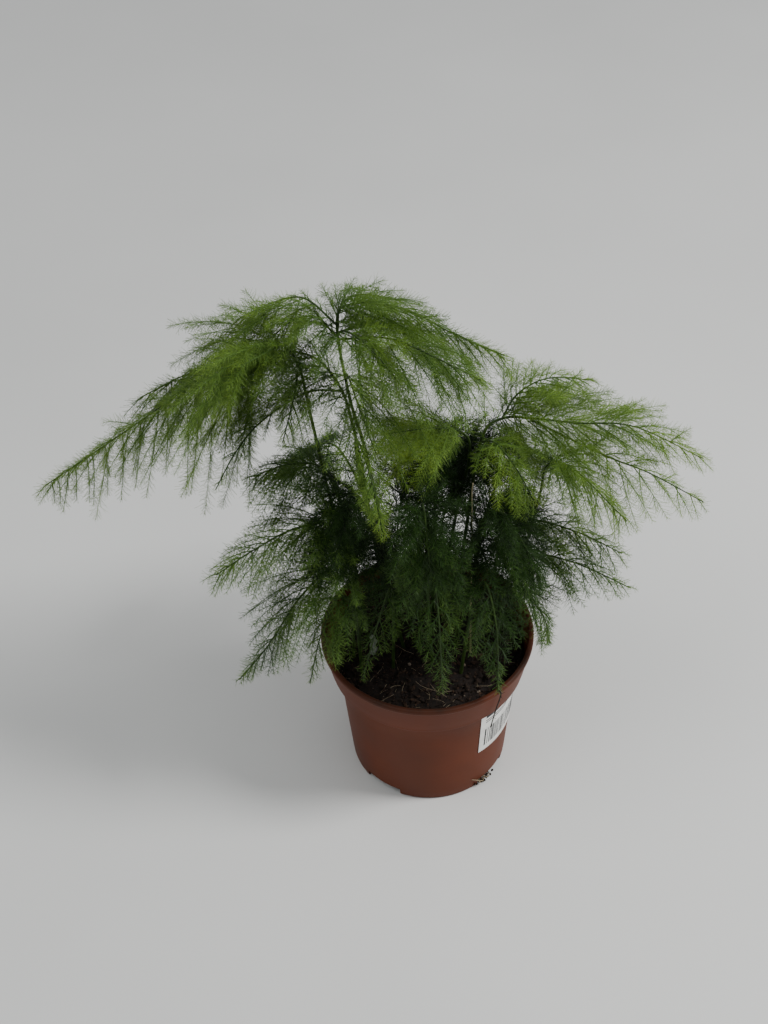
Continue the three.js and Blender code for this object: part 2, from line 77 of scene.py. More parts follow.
# Soil
SOIL_TOP = 76
SOIL_LUMP = 1.1
SOIL_PROUD = 0.3
SOIL_GAP = 0.35
SOIL_STEP = 0.4
SOIL_BRIM = 0.6
SOIL_SEGMENTS = 120
SOIL_RINGS = 32
SOIL_RING_PITCH = 0.4
SOIL_RING_WIDENING = 1.35
SOIL_EDGE_WIDTH = 3
SOIL_EDGE_DIP = 0.8
CLOD_SIZE = 3.2
CLOD_HEIGHT = 1.5
CLOD_SLICE = 4

# Crumbs: peat, chips of bark and pale grit, by their share and their stretch
CRUMB_COUNT = 3000
CRUMBS_WITHIN = 48.2
CRUMB_SIZE = 0.5
CRUMB_SIZE_SPREAD = 0.55
LARGEST_CRUMB = 2.0
CRUMB_SHARES = [0.8, 0.16, 0.04]
CRUMB_STRETCHES = np.array([[1, 1, 1], [1.9, 1, 0.5], [0.6, 0.6, 0.6]])
CRUMB_LIFT = (-0.1, 0.9)
# Dark crumbs in the notch that the threads leave by, as painted shade for the notch's dark inside
NOTCH_SHADE_CRUMB_COUNT = 44
NOTCH_SHADE_CRUMB_SIZE = (0.4, 0.9)
NOTCH_SHADE_CRUMB_HEIGHT = (1.0, 3.4)
NOTCH_SHADE_CRUMB_OUT = (-1.2, 0.9)

# Fibres, the first of them at places on the soil where they show
FIBRE_COUNT = 60
FIBRE_RADIUS = 0.09
FIBRE_LENGTH = (5, 15)
FIBRE_LIFT = (0.6, 1.6)
FIBRES_WITHIN = 47
FIBRE_TIPS_WITHIN = 47.5
FIBRE_SPOTS = [(3, -34), (8, -36), (-2, -31), (-41, -10), (-38, -16)]

# Fertiliser beads, in a row that runs back from the front
BEAD_RADIUS = 1.6
BEAD_COUNT = 5
BEAD_PITCH = 2.6
BEAD_ROW_X = -28
BEAD_ZIGZAG = 0.9
BEAD_LIFT = 1.3

# Root threads out of a notch: how far round each starts, how far it drifts, and how high it climbs
THREAD_DIRECTION = 39
THREADS = ((0, -9, 9), (2, -6, 6), (-1, 4, 5), (4, 5, 3.4))
THREAD_RADII = (0.42, 0.14)
THREAD_ROOT_RADIUS = 37
THREAD_OUT = 0.7
THREAD_HEIGHT = 3
THREAD_RINGS = 18

# Dead stem, and the points of the withered strand by direction, radius and height
DEAD_STEM_FOOT = (22, -6, SOIL_TOP - 8)
DEAD_STEM_TOP = (22, -5, 192)
DEAD_STEM_RADII = (0.6, 0.3)
DEAD_STEM_RINGS = 26
STRAND_RADII = (0.5, 0.26)
STRAND_RINGS = 40
STRAND_ROUTE = [
    (41, 45, SOIL_TOP + 1.6), (40, 49, SOIL_TOP + 6), (39, RIM_RADIUS - 2.8, POT_HEIGHT + 1),
    (38.5, RIM_RADIUS - 0.4, POT_HEIGHT + 0.8), (38, RIM_RADIUS + 1, POT_HEIGHT - 1.4),
    (37.5, RIM_RADIUS + 0.8, POT_HEIGHT - 5), (37, BAND_BOTTOM_RADIUS + 3, BAND_BOTTOM + 6),
    (35, BAND_BOTTOM_RADIUS + 1.6, 60)]
STRAND_HAIRS = range(14, 38, 2)
HAIR_RADII = [0.16, 0.05]
HAIR_LENGTH = (1.2, 2.4)

# Label
LABEL_LEFT = 33.5
LABEL_WIDTH = 38
LABEL_BOTTOM = 32
LABEL_HEIGHT = 33
LABEL_COLUMNS = 24
LABEL_LIFTS = (0.12, 0.4)
INK_LIFTS = (0.38, 0.43)
INK_COLUMN = 1.5

# Plain rules and bars on the label, in millimetres from its lower left corner: left, right, low, high
RULES = [(3, 15, 27.5, 29.8), (3, 22, 25.2, 25.9), (3, 19, 23.6, 24.2), (17.5, 24, 27.8, 29.6)]
RULES += [(26, 35, 26 - 1.7 * i, 26.5 - 1.7 * i) for i in range(4)]
BARS_LEFT = 3.0
BARS_RIGHT = 34
BARS_LOW = 4
BARS_HIGH = 18
BAR_WIDTHS = [0.35, 0.55, 0.9]
BAR_GAPS = [0.4, 0.6, 1.0]

# Stems and branchlets of the fronds, with angles in degrees
STEM_RADIUS = 0.95
FORK_RADIUS = 0.55
STEM_TIP_RADIUS = 0.24
STEM_RINGS = 60
STEM_SIDES = 7
STEM_BURIED = 8
TIP_SHARE = 0.88
BRANCH_RADII = (0.34, 0.09)
BRANCH_STEP = 5
BRANCH_ANGLE = 62
ANGLE_CLOSING = 28
ANGLE_SPREAD = 12
RISE_SPREAD = 0.16
FORWARD_BEND = 0.22
LEAST_LENGTH = 0.86
LENGTH_CHANCE = 0.28
LEAST_DROOP = 0.8
DROOP_CHANCE = 0.4
SHADED_DEPTH = 66
SHADED_LENGTH = 0.4

# How long branchlets are along a limb: the share of the first and of the last, how soon they are
# longest, and how fast they shorten after that
FIRST_BRANCH_SHARE = 0.3
LAST_BRANCH_SHARE = 0.14
LONGEST_BRANCH_AT = 0.16
BRANCH_SHORTENING = 0.85

# Branchlets that fill the room between a limb's own: two in three hang, and the others rise
FILL_HANGING = (15, 70)
FILL_LEAST_RISE = 8
FILL_EARLY = 0.16
HANGING_SHARE = 0.85
RISING_SHARE = 0.66
HANGING_DROOP = 1.9
RISING_DROOP = 0.45

# Twigs
TWIG_RADII = (0.2, 0.07)
TWIG_STEP = 6
TWIG_SIDES = 3
TWIG_PITCH = 5.6
TWIG_STRETCH = (0.06, 0.72)
TWIG_ANGLES = (22, 42)
TWIG_LEAN = 0.14
TWIG_SHARE = 0.44
TWIG_LENGTHS = (0.7, 1.15)
TWIG_SHORTENING = 0.8
LONGEST_TWIG = 28
SHORTEST_TWIG = 3

# Needles, in whorls. The last three values say how far from its start a strand is bare of them.
NEEDLES_PER_TUFT = 5
TUFT_DEPTH = 0.3
TUFT_TURN = 2.4
TUFT_TURN_SPREAD = 0.5
NEEDLE_LENGTH = 5.6
NEEDLE_LENGTHS = (0.7, 1.15)
NEEDLE_WIDTH = 0.24
NEEDLE_POINT_WIDTH = 0.15
NEEDLE_ANGLE = 55
NEEDLE_ANGLE_SPREAD = 8
OLD_BREADTH = 1.25
YOUNG_SLIMNESS = 0.75
BRUSH_FLATNESS = 0.6
BRUSH_END = 7
END_ANGLE_SHARE = 0.7
END_LENGTH_SHARE = 0.35
BRANCH_BARE = 2.0
TWIG_BARE = 0.6
TIP_BARE = 0.2

# Ages, from 0 for the oldest green to 1 for the newest, laid on each frond's tone, which also holds painted
# shade: how they drift, by place and by chance
TONE_DRIFT = 22
AGE_DRIFT = 0.14
AGE_ALONG_LIMB = 0.16
AGE_MIDDLE = 0.4
AGE_CHANCE = 0.03
NEEDLE_AGE_ALONG = 0.14
NEEDLE_AGE_CHANCE = 0.05
STEM_TIP_YOUNGER = 0.2
TWIG_YOUNGER = 0.05

# The fronds' map: stems take strips along its foot, and needles and twigs take the rest
MAP_NAME = "OFBake"
MAP_EDGE = 0.01
STEM_STRIP = 0.06
NEEDLE_MAP_LOW = 0.3
NEEDLE_MAP_HALF_WIDTH = 0.006
TWIG_MAP_HEIGHT = 0.2

# How strands clear the soil, the rim and the floor
SOIL_CLEAR = 3
RIM_CLEAR = 3
RIM_REACH = 6
FLOOR_CLEAR = 3

# Sizes of the patterns in the materials, and depths of those that are felt
NEEDLE_PALING = (-0.06, 0.1)
STEM_STREAK = 6
POT_DRIFT = 35
POT_GRAIN = 0.9
POT_GRAIN_DEPTH = 0.06
PEAT_FLECK = 1.6
PEAT_DEPTH = 0.5
DRY_DEPTH = 0.1
FLOOR_DRIFT = 260

# Studio, in metres: each lamp's place, what it faces, its width, and its power in watts
LAMPS = {
    "key": ((0.95, -0.15, 1.15), (0.05, 0, 0.1), 0.45, 20),
    "fill": ((-0.7, -0.2, 1.4), (0, 0, 0.15), 1.0, 5),
}
FLOOR_HALF_SIDE = 3.0
SKY_COLOUR = "#eef1f4"
SKY_STRENGTH = 0.58

# The photograph's camera: its place in millimetres, how far it looks down and leans, in degrees, and
# its lens and its long side, in pixels
CAMERA_PLACE = (-19.46, -531.38, 675.85)
CAMERA_PITCH = 43.517
CAMERA_ROLL = -2.323
LENS_PIXELS = 1553.4
LONG_SIDE_PIXELS = 1024
SENSOR_WIDTH = 36
CAMERA_RANGE = (0.01, 20)


# Materials

def linear(colour):
    """An sRGB hex colour as linear RGBA."""
    parts = [int(colour[i:i + 2], 16) / 255 for i in (1, 3, 5)]
    return [p / 12.92 if p <= 0.04045 else ((p + 0.055) / 1.055) ** 2.4 for p in parts] + [1.0]


def node(tree, kind, settings=None, links=None, stops=()):
    """A node with its attributes and socket values, links from other nodes' outputs to its inputs, and
    for a colour ramp its (position, hex colour) stops: the first, the last, then those between."""
    made = tree.nodes.new(kind)
    for name, value in (settings or {}).items():
        if isinstance(name, int) or name in made.inputs:
            made.inputs[name].default_value = value
        else:
            setattr(made, name, value)
    for name, output in (links or {}).items():
        tree.links.new(output, made.inputs[name])
    for i, (place, colour) in enumerate(stops):
        at = made.color_ramp.elements[i] if i < 2 else made.color_ramp.elements.new(place)
        at.position = place
        at.color = linear(colour)
    return made


def material(name, **settings):
    """An empty material with its tree, its shader and the object's coordinates in metres."""
    made = bpy.data.materials.new(name)
    made.use_nodes = True
    shader = made.node_tree.nodes["Principled BSDF"]
    for key, value in settings.items():
        shader.inputs[key.replace("_", " ")].default_value = value
    place = node(made.node_tree, "ShaderNodeTexCoord").outputs["Object"]
    return made, made.node_tree, shader, place


def per_mm(size):
    """A texture scale that gives features of this many millimetres in coordinates of metres."""
    return 1 / (size * MM)


def needle_material():
    """Living cladodes of a lace fern: soft, slightly waxy, from deep green on old growth and on fronds
    painted darker as painted shade, to yellow-green on new tips. Each needle pales from its root to its
    point. The map lays every needle at its own tone from left to right, with its root low and its point
    high."""
    made, tree, shader, _ = material("fern_needles", Roughness=0.52, IOR=1.45, Specular_IOR_Level=0.28)
    spot = node(tree, "ShaderNodeUVMap", {"uv_map": MAP_NAME})
    spread = node(tree, "ShaderNodeSeparateXYZ", links={"Vector": spot.outputs["UV"]})
    root, point = NEEDLE_PALING
    paler = node(tree, "ShaderNodeMapRange",
                 {"From Min": NEEDLE_MAP_LOW, "From Max": 1.0, "To Min": root, "To Max": point},
                 {"Value": spread.outputs["Y"]})
    age_and_shade = node(tree, "ShaderNodeMath", {"operation": "ADD"},
               {0: spread.outputs["X"], 1: paler.outputs["Result"]})
    colours = node(tree, "ShaderNodeValToRGB", links={"Fac": age_and_shade.outputs[0]}, stops=[
        (0.0, "#0d1d06"), (1.0, "#8fa836"), (0.3, "#24400f"), (0.55, "#4e6b27"), (0.78, "#6f8d33")])
    tree.links.new(colours.outputs["Color"], shader.inputs["Base Color"])
    return made


def stem_material():
    """Wiry fern stem: smooth, tough skin in streaks of dark and mid green, with a low shine."""
    made, tree, shader, place = material("fern_stem", Roughness=0.55, IOR=1.45, Specular_IOR_Level=0.25)
    streak = node(tree, "ShaderNodeTexNoise", {"Scale": per_mm(STEM_STREAK), "Detail": 3.0},
                  {"Vector": place})
    colours = node(tree, "ShaderNodeValToRGB", links={"Fac": streak.outputs["Fac"]},
                   stops=[(0.25, "#1a2810"), (0.8, "#3f5222"), (0.55, "#2b3f17")])
    tree.links.new(colours.outputs["Color"], shader.inputs["Base Color"])
    return made


def pot_material():
    """Injection-moulded polypropylene, terracotta brown: satin, with dusty drifts that dull its shine,
    a lip painted darker towards its top as painted shade, and a faint moulded grain, drawn coarser than
    the real one so that it shows."""
    made, tree, shader, place = material("moulded_polypropylene", IOR=1.49, Specular_IOR_Level=0.14)
    drift = node(tree, "ShaderNodeTexNoise", {"Scale": per_mm(POT_DRIFT), "Detail": 4.0},
                 {"Vector": place})
    spread = node(tree, "ShaderNodeSeparateXYZ", links={"Vector": place})
    # The top of the lip is painted darker towards its edge, as painted shade
    lip_shade = node(tree, "ShaderNodeMapRange",
                {"From Min": (POT_HEIGHT - LIP_SHADE_DEPTH) * MM, "From Max": POT_HEIGHT * MM, "To Max": 0.4},
                {"Value": spread.outputs["Z"]})
    drift_less_lip_shade = node(tree, "ShaderNodeMath", {"operation": "SUBTRACT"},
                  {0: drift.outputs["Fac"], 1: lip_shade.outputs["Result"]})
    colours = node(tree, "ShaderNodeValToRGB", links={"Fac": drift_less_lip_shade.outputs[0]},
                   stops=[(0.0, "#2f1c13"), (0.75, "#66321d"), (0.3, "#542815"), (0.55, "#5d2d19")])
    tree.links.new(colours.outputs["Color"], shader.inputs["Base Color"])
    rough = node(tree, "ShaderNodeMapRange", {"To Min": 0.42, "To Max": 0.6},
                 {"Value": drift.outputs["Fac"]})
    tree.links.new(rough.outputs["Result"], shader.inputs["Roughness"])
    grain = node(tree, "ShaderNodeTexNoise", {"Scale": per_mm(POT_GRAIN), "Detail": 2.0},
                 {"Vector": place})
    bump = node(tree, "ShaderNodeBump", {"Strength": 0.18, "Distance": POT_GRAIN_DEPTH * MM},
                {"Height": grain.outputs["Fac"]})
    tree.links.new(bump.outputs["Normal"], shader.inputs["Normal"])
    return made


def peat_material(name, dark, middle, light):
    """Peat or what is mixed into it: rough and open, with flecks of a darker and a lighter shade."""
    made, tree, shader, place = material(name, Roughness=0.92, IOR=1.4)
    flecks = node(tree, "ShaderNodeTexNoise",
                  {"Scale": per_mm(PEAT_FLECK), "Detail": 6.0, "Roughness": 0.7}, {"Vector": place})
    colours = node(tree, "ShaderNodeValToRGB", links={"Fac": flecks.outputs["Fac"]},
                   stops=[(0.3, dark), (0.74, light), (0.52, middle)])
    tree.links.new(colours.outputs["Color"], shader.inputs["Base Color"])
    bump = node(tree, "ShaderNodeBump", {"Strength": 0.7, "Distance": PEAT_DEPTH * MM},
                {"Height": flecks.outputs["Fac"]})
    tree.links.new(bump.outputs["Normal"], shader.inputs["Normal"])
    return made


def dry_material(name, dark, light, size, roughness):
    """Something dry, with uneven streaks of this many millimetres, from a dark to a light shade."""
    made, tree, shader, place = material(name, Roughness=roughness, IOR=1.45)
    streak = node(tree, "ShaderNodeTexNoise", {"Scale": per_mm(size), "Detail": 4.0}, {"Vector": place})
    colours = node(tree, "ShaderNodeValToRGB", links={"Fac": streak.outputs["Fac"]},
                   stops=[(0.3, dark), (0.7, light)])
    tree.links.new(colours.outputs["Color"], shader.inputs["Base Color"])
    bump = node(tree, "ShaderNodeBump", {"Strength": 0.3, "Distance": DRY_DEPTH * MM},
                {"Height": streak.outputs["Fac"]})
    tree.links.new(bump.outputs["Normal"], shader.inputs["Normal"])
    return made


NEEDLES = needle_material()
STEMS = stem_material()
POT = pot_material()
# Damp peat is almost black and barely shines. Loose crumbs are a shade browner, chips of bark are warm
# brown, and grit is a pale grey-brown.
PEAT = peat_material("damp_peat", "#0b0705", "#18100b", "#2c2017")
CRUMBS = [
    peat_material("peat_crumb", "#0d0806", "#22170f", "#463424"),
    peat_material("bark_chip", "#1f140d", "#37261a", "#58412d"),
    peat_material("pale_grit", "#51463a", "#77695a", "#9c9080"),
]
# Dead roots are the colour of straw and matt
FIBRE = dry_material("root_fibre", "#6e5f48", "#a4957a", 3, 0.8)
# Resin-coated beads of fertiliser are grey-green, with a soft shine
BEADS = dry_material("coated_fertiliser", "#6f7569", "#9aa091", 1.2, 0.42)
# Coated paper is a slightly uneven white, and its printed ink is near black and duller
PAPER = dry_material("coated_label_paper", "#dcdbd6", "#efeeea", 4, 0.5)
INK = dry_material("label_ink", "#16161a", "#2a2a2e", 1, 0.55)
# A dead stem is bleached and matt, and the withered strand is dark brown
DRY_STEM = dry_material("dead_stem", "#7d7355", "#b0a680", 5, 0.7)
DRY_STRAND = dry_material("withered_strand", "#17130f", "#33291f", 3, 0.8)


# Meshes

def piece(name, parts, materials, nodes, smooth_under=None, uvs=None):
    """A mesh from (vertices in millimetres, faces, material number) parts, riding on the pot."""
    vertices = np.vstack([np.asarray(v, float) for v, _, _ in parts]) * MM
    starts = np.cumsum([0] + [len(v) for v, _, _ in parts])
    faces = [[k + start for k in face] for (_, f, _), start in zip(parts, starts) for face in f]
    numbers = np.concatenate([np.full(len(f), m) for _, f, m in parts])
    mesh = bpy.data.meshes.new(name)
    mesh.from_pydata(vertices.tolist(), [], faces)
    mesh.polygons.foreach_set("material_index", numbers.astype(np.int32))
    for each in materials:
        mesh.materials.append(each)
    if uvs is not None:
        mesh.uv_layers.new(name=MAP_NAME).data.foreach_set("uv", uvs.astype(np.float32).ravel())
    if smooth_under is not None:
        soften(mesh, smooth_under)
    made = bpy.data.objects.new(name, mesh)
    bpy.context.scene.collection.objects.link(made)
    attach(made, "root")
    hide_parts(*nodes)
    return made


def soften(mesh, degrees):
    """Smooth shading, with edges sharper than this left crisp."""
    shape = bmesh.new()
    shape.from_mesh(mesh)
    for face in shape.faces:
        face.smooth = True
    for edge in shape.edges:
        edge.smooth = edge.calc_face_angle(0) < np.radians(degrees)
    shape.to_mesh(mesh)
    shape.free()


def unit(vectors):
    """The same directions at a length of one."""
    vectors = np.asarray(vectors, float)
    return vectors / np.maximum(np.linalg.norm(vectors, axis=-1, keepdims=True), 1e-12)


def heading(degrees):
    """A direction in the ground plane, in degrees round from the front towards +X."""
    return np.array([np.sin(np.radians(degrees)), -np.cos(np.radians(degrees)), 0.0])


def polar(degrees, radius, z):
    """A point by its direction round the pot, its distance from the axis and its height."""
    return heading(degrees) * radius + UP * z


def tangents(points):
    """The direction of a line at each of its points."""
    return unit(np.gradient(points, axis=0))


def catmull(points, t):
    """A point of the smooth curve that passes the given points at even steps of t."""
    points = np.asarray(points, float)
    last = len(points) - 1
    s = min(max(t, 0.0), 1.0) * last
    i = min(int(s), last - 1)
    w = s - i
    before = points[i - 1] if i > 0 else 2 * points[0] - points[1]
    b, c = points[i], points[i + 1]
    after = points[i + 2] if i + 2 <= last else 2 * points[last] - points[last - 1]
    return 0.5 * (2 * b + (c - before) * w + (2 * before - 5 * b + 4 * c - after) * w ** 2
                  + (3 * b - before - 3 * c + after) * w ** 3)


def smoothed(points, count):
    """Points along the smooth curve through these."""
    return np.array([catmull(points, t) for t in np.linspace(0, 1, count)])


def tube(points, radii, sides):
    """A closed tube through points, with a radius at each or one for all."""
    points = np.asarray(points, float)
    radii = np.broadcast_to(radii, len(points))
    along = tangents(points)
    first = np.array([1.0, 0, 0]) if abs(along[0, 2]) > 0.9 else UP
    turns = np.arange(sides) * 2 * np.pi / sides
    rings = []
    for centre, direction, radius in zip(points, along, radii):
        first = unit(first - direction * (first @ direction))
        second = np.cross(direction, first)
        ring = np.outer(np.cos(turns), first) + np.outer(np.sin(turns), second)
        rings.append(centre + radius * ring)
    n = len(points)
    faces = [[i * sides + k, i * sides + (k + 1) % sides, (i + 1) * sides + (k + 1) % sides,
              (i + 1) * sides + k] for i in range(n - 1) for k in range(sides)]
    faces.append(list(range(sides))[::-1])
    faces.append(list(range((n - 1) * sides, n * sides)))
    return np.vstack(rings), faces


def tapered(points, radii, sides):
    """A closed tube through points, from a first radius to a last."""
    return tube(points, np.linspace(*radii, len(points)), sides)


def lathe(profile, segments):
    """A turned shape from (radius, height) points that start and end on the axis."""
    turns = np.arange(segments) * 2 * np.pi / segments
    middle = profile[1:-1]
    vertices = [[0, 0, profile[0][1]]]
    for radius, z in middle:
        ring = [radius * np.sin(turns), -radius * np.cos(turns), np.full(segments, z)]
        vertices += np.stack(ring, 1).tolist()
    vertices.append([0, 0, profile[-1][1]])
    last = len(vertices) - 1
    faces = []
    for k in range(segments):
        near, far = 1 + k, 1 + (k + 1) % segments
        faces.append([0, far, near])
        for i in range(len(middle) - 1):
            base = i * segments
            faces.append([near + base, far + base, far + base + segments, near + base + segments])
        base = (len(middle) - 1) * segments
        faces.append([near + base, far + base, last])
    return np.array(vertices, float), faces


def arc(centre_r, centre_z, radius, start, end, steps):
    """Profile points round part of a circle, in degrees up from the outward direction."""
    angles = np.radians(np.linspace(start, end, steps))
    return [(centre_r + radius * np.cos(a), centre_z + radius * np.sin(a)) for a in angles]


# Pot

def body_radius(z):
    """The radius of the pot's body at a height."""
    return BASE_RADIUS + (BODY_TOP_RADIUS - BASE_RADIUS) * z / BAND_BOTTOM


def pot_profile():
    """The pot's section from the middle of its underside up its outside, over its lip and down its
    inside. Rings on the straight stretches keep their shading even."""
    points = [(0, RECESS_DEPTH), (RECESS_RADIUS, RECESS_DEPTH), (RECESS_RADIUS + RECESS_BEVEL, 0)]
    points += arc(BASE_RADIUS - FOOT_ROUND, FOOT_ROUND, FOOT_ROUND, -90, -4, 5)
    points += [(body_radius(z), z) for z in BODY_RINGS]
    points += [(BODY_TOP_RADIUS + STEP_BEVEL, BAND_BOTTOM - STEP_BEVEL)]
    points += [(BODY_TOP_RADIUS + STEP_LEDGE, BAND_BOTTOM)]
    points += arc(BAND_BOTTOM_RADIUS - BAND_ROUND, BAND_BOTTOM + BAND_ROUND, BAND_ROUND, -90, 8, 5)
    slope = (RIM_RADIUS - LIP_PROUD - BAND_BOTTOM_RADIUS) / (POT_HEIGHT - LIP_HEIGHT - BAND_BOTTOM)
    points += [(BAND_BOTTOM_RADIUS + slope * rise, BAND_BOTTOM + rise) for rise in BAND_RINGS]
    inward, below = LIP_NECK
    under, outside, inside = LIP_ROUNDS
    points += [(RIM_RADIUS - inward, POT_HEIGHT - below)]
    points += arc(RIM_RADIUS - under, POT_HEIGHT - 2 * under, under, -60, 0, 4)
    points += arc(RIM_RADIUS - outside, POT_HEIGHT - outside, outside, 0, 90, 6)
    points += arc(RIM_RADIUS - outside - inside, POT_HEIGHT - inside, inside, 90, 180, 4)
    outward, above = BAND_INSIDE
    points += [(BAND_BOTTOM_RADIUS - WALL + outward, BAND_BOTTOM + above)]
    points += [(BAND_BOTTOM_RADIUS - WALL, BAND_BOTTOM + WALL + BAND_ROUND)]
    points += [(body_radius(BAND_BOTTOM) - WALL, BAND_BOTTOM + WALL)]
    points += [(body_radius(FLOOR) - WALL, FLOOR), (0, FLOOR)]
    return points


def notch_blocks():
    """The blocks that cut the notches round the foot."""
    quads = [(0, 1, 3, 2), (4, 6, 7, 5), (0, 4, 5, 1), (2, 3, 7, 6), (0, 2, 6, 4), (1, 5, 7, 3)]
    vertices, faces = [], []
    for i in range(NOTCH_COUNT):
        turn = np.radians(NOTCH_DIRECTION + i * 360 / NOTCH_COUNT)
        round_axis = np.array([np.cos(turn), np.sin(turn), 0])
        inward_axis = np.array([-np.sin(turn), np.cos(turn), 0])
        faces += [[len(vertices) + k for k in quad] for quad in quads]
        vertices += [-BASE_RADIUS * inward_axis + sx * NOTCH_WIDTH / 2 * round_axis
                     + sy * NOTCH_DEPTH * inward_axis + UP * sz * NOTCH_HEIGHT
                     for sx in (-1, 1) for sy in (-1, 1) for sz in (-1, 1)]
    return np.array(vertices), faces


def pot():
    made = piece("pot_shell", [(*lathe(pot_profile(), POT_SEGMENTS), 0)], [POT], ["pot"])
    vertices, faces = notch_blocks()
    block = bpy.data.meshes.new("notch_blocks")
    block.from_pydata((vertices * MM).tolist(), [], faces)
    cutter = bpy.data.objects.new("notch_blocks", block)
    bpy.context.scene.collection.objects.link(cutter)
    cut = made.modifiers.new("notches", "BOOLEAN")
    cut.object = cutter
    cut.operation = "DIFFERENCE"
    cut.solver = "EXACT"
    depsgraph = bpy.context.evaluated_depsgraph_get()
    notched = bpy.data.meshes.new_from_object(made.evaluated_get(depsgraph))
    made.modifiers.clear()
    made.data = notched
    bpy.data.objects.remove(cutter)
    soften(notched, POT_SHARP)


# Label, with plain rules and bars where the real one is printed

def curved_patch(left, right, low, high, lift, columns):
    """A patch that follows the pot's wall, in millimetres from the label's lower left corner."""
    vertices = []
    for i in range(columns + 1):
        at = left + (right - left) * i / columns
        turn = LABEL_LEFT + np.degrees(at / body_radius(LABEL_BOTTOM))
        for z in (LABEL_BOTTOM + low, LABEL_BOTTOM + high):
            vertices.append(polar(turn, body_radius(z) + lift, z))
    faces = [[2 * i, 2 * i + 2, 2 * i + 3, 2 * i + 1] for i in range(columns)]
    return np.array(vertices), faces


def sheet_patch(left, right, low, high, lifts, columns):
    """A closed sheet between two lifts off the pot's wall."""
    inner, faces = curved_patch(left, right, low, high, lifts[0], columns)
    outer, _ = curved_patch(left, right, low, high, lifts[1], columns)
    n = len(inner)
    closed = [[k + n for k in face] for face in faces] + [face[::-1] for face in faces]
    for i in range(columns):
        closed.append([2 * i, 2 * i + 2, 2 * i + 2 + n, 2 * i + n])
        closed.append([2 * i + 1 + n, 2 * i + 3 + n, 2 * i + 3, 2 * i + 1])
    closed.append([0, n, n + 1, 1])
    closed.append([n - 2, n - 1, 2 * n - 1, 2 * n - 2])
    return np.vstack([inner, outer]), closed


def label():
    sheet = sheet_patch(0, LABEL_WIDTH, 0, LABEL_HEIGHT, LABEL_LIFTS, LABEL_COLUMNS)
    piece("label_sheet", [(*sheet, 0)], [PAPER], ["label"], smooth_under=40)
    rng = np.random.default_rng(5)
    marks = list(RULES)
    at = BARS_LEFT
    while at < BARS_RIGHT:
        wide = rng.choice(BAR_WIDTHS)
        marks.append((at, at + wide, BARS_LOW, BARS_HIGH))
        at += wide + rng.choice(BAR_GAPS)
    parts = []
    for left, right, low, high in marks:
        columns = max(1, int((right - left) / INK_COLUMN))
        parts.append((*sheet_patch(left, right, low, high, INK_LIFTS, columns), 0))
    piece("label_bars", parts, [INK], ["label"])


# Soil with its crumbs, fibres, beads and the root threads that leave a notch

def soil_height(x, y):
    """The height of the soil at a place: long low swells with shorter ones across them."""
    broad = np.sin(x * 0.31 + 1.2) * np.cos(y * 0.37)
    return SOIL_TOP + SOIL_PROUD + SOIL_LUMP * (broad + 0.5 * np.sin(x * 0.9 - y * 0.7))


def soil():
    side = BAND_BOTTOM_RADIUS - WALL - SOIL_GAP
    rings = [side - SOIL_RING_PITCH * k ** SOIL_RING_WIDENING for k in range(1, SOIL_RINGS + 1)]
    rings = [side + SOIL_BRIM] + [r for r in rings if r > 1]
    step = BAND_BOTTOM + WALL + SOIL_STEP
    profile = [(0, FLOOR + SOIL_GAP), (body_radius(FLOOR) - WALL - SOIL_GAP, FLOOR + SOIL_GAP),
               (body_radius(BAND_BOTTOM) - WALL - SOIL_GAP, step), (side, step + BAND_ROUND)]
    under = 1 + (len(profile) - 1) * SOIL_SEGMENTS
    profile += [(r, SOIL_TOP) for r in rings] + [(0, SOIL_TOP)]
    vertices, faces = lathe(profile, SOIL_SEGMENTS)
    for i in range(under, len(vertices)):
        x, y, _ = vertices[i]
        rough = noise.fractal(Vector((x, y, CLOD_SLICE)) / CLOD_SIZE, 0.6, 2.0, 5)
        inside = min(1.0, max(0.0, (side - np.hypot(x, y)) / SOIL_EDGE_WIDTH))
        low = SOIL_TOP - SOIL_EDGE_DIP
        vertices[i, 2] = low + inside * (soil_height(x, y) - low) + CLOD_HEIGHT * rough
    piece("soil_bed", [(vertices, faces, 0)], [PEAT], ["soil"], smooth_under=180)


ICOSAHEDRON = np.array([
    [0, -0.526, 0.851], [0.851, 0, 0.526], [0.851, 0, -0.526], [-0.851, 0, -0.526], [-0.851, 0, 0.526],
    [-0.526, 0.851, 0], [0.526, 0.851, 0], [0.526, -0.851, 0], [-0.526, -0.851, 0], [0, -0.526, -0.851],
    [0, 0.526, -0.851], [0, 0.526, 0.851]])
ICOSAHEDRON_FACES = np.array([
    [1, 2, 6], [1, 7, 2], [3, 4, 5], [4, 3, 8], [6, 5, 11], [5, 6, 10], [9, 10, 2], [10, 9, 3], [7, 8, 9],
    [8, 7, 0], [11, 0, 1], [0, 11, 4], [6, 2, 10], [1, 6, 11], [3, 5, 10], [5, 4, 11], [2, 7, 9],
    [7, 1, 0], [3, 9, 8], [4, 8, 0]])


def lump(rng, centre, sizes):
    """One irregular crumb, turned at random."""
    turn, _ = np.linalg.qr(rng.normal(size=(3, 3)))
    if np.linalg.det(turn) < 0:
        turn[:, 0] *= -1
    shape = ICOSAHEDRON * rng.uniform(0.6, 1.2, (len(ICOSAHEDRON), 1)) * sizes
    return shape @ turn.T + centre, ICOSAHEDRON_FACES.tolist()


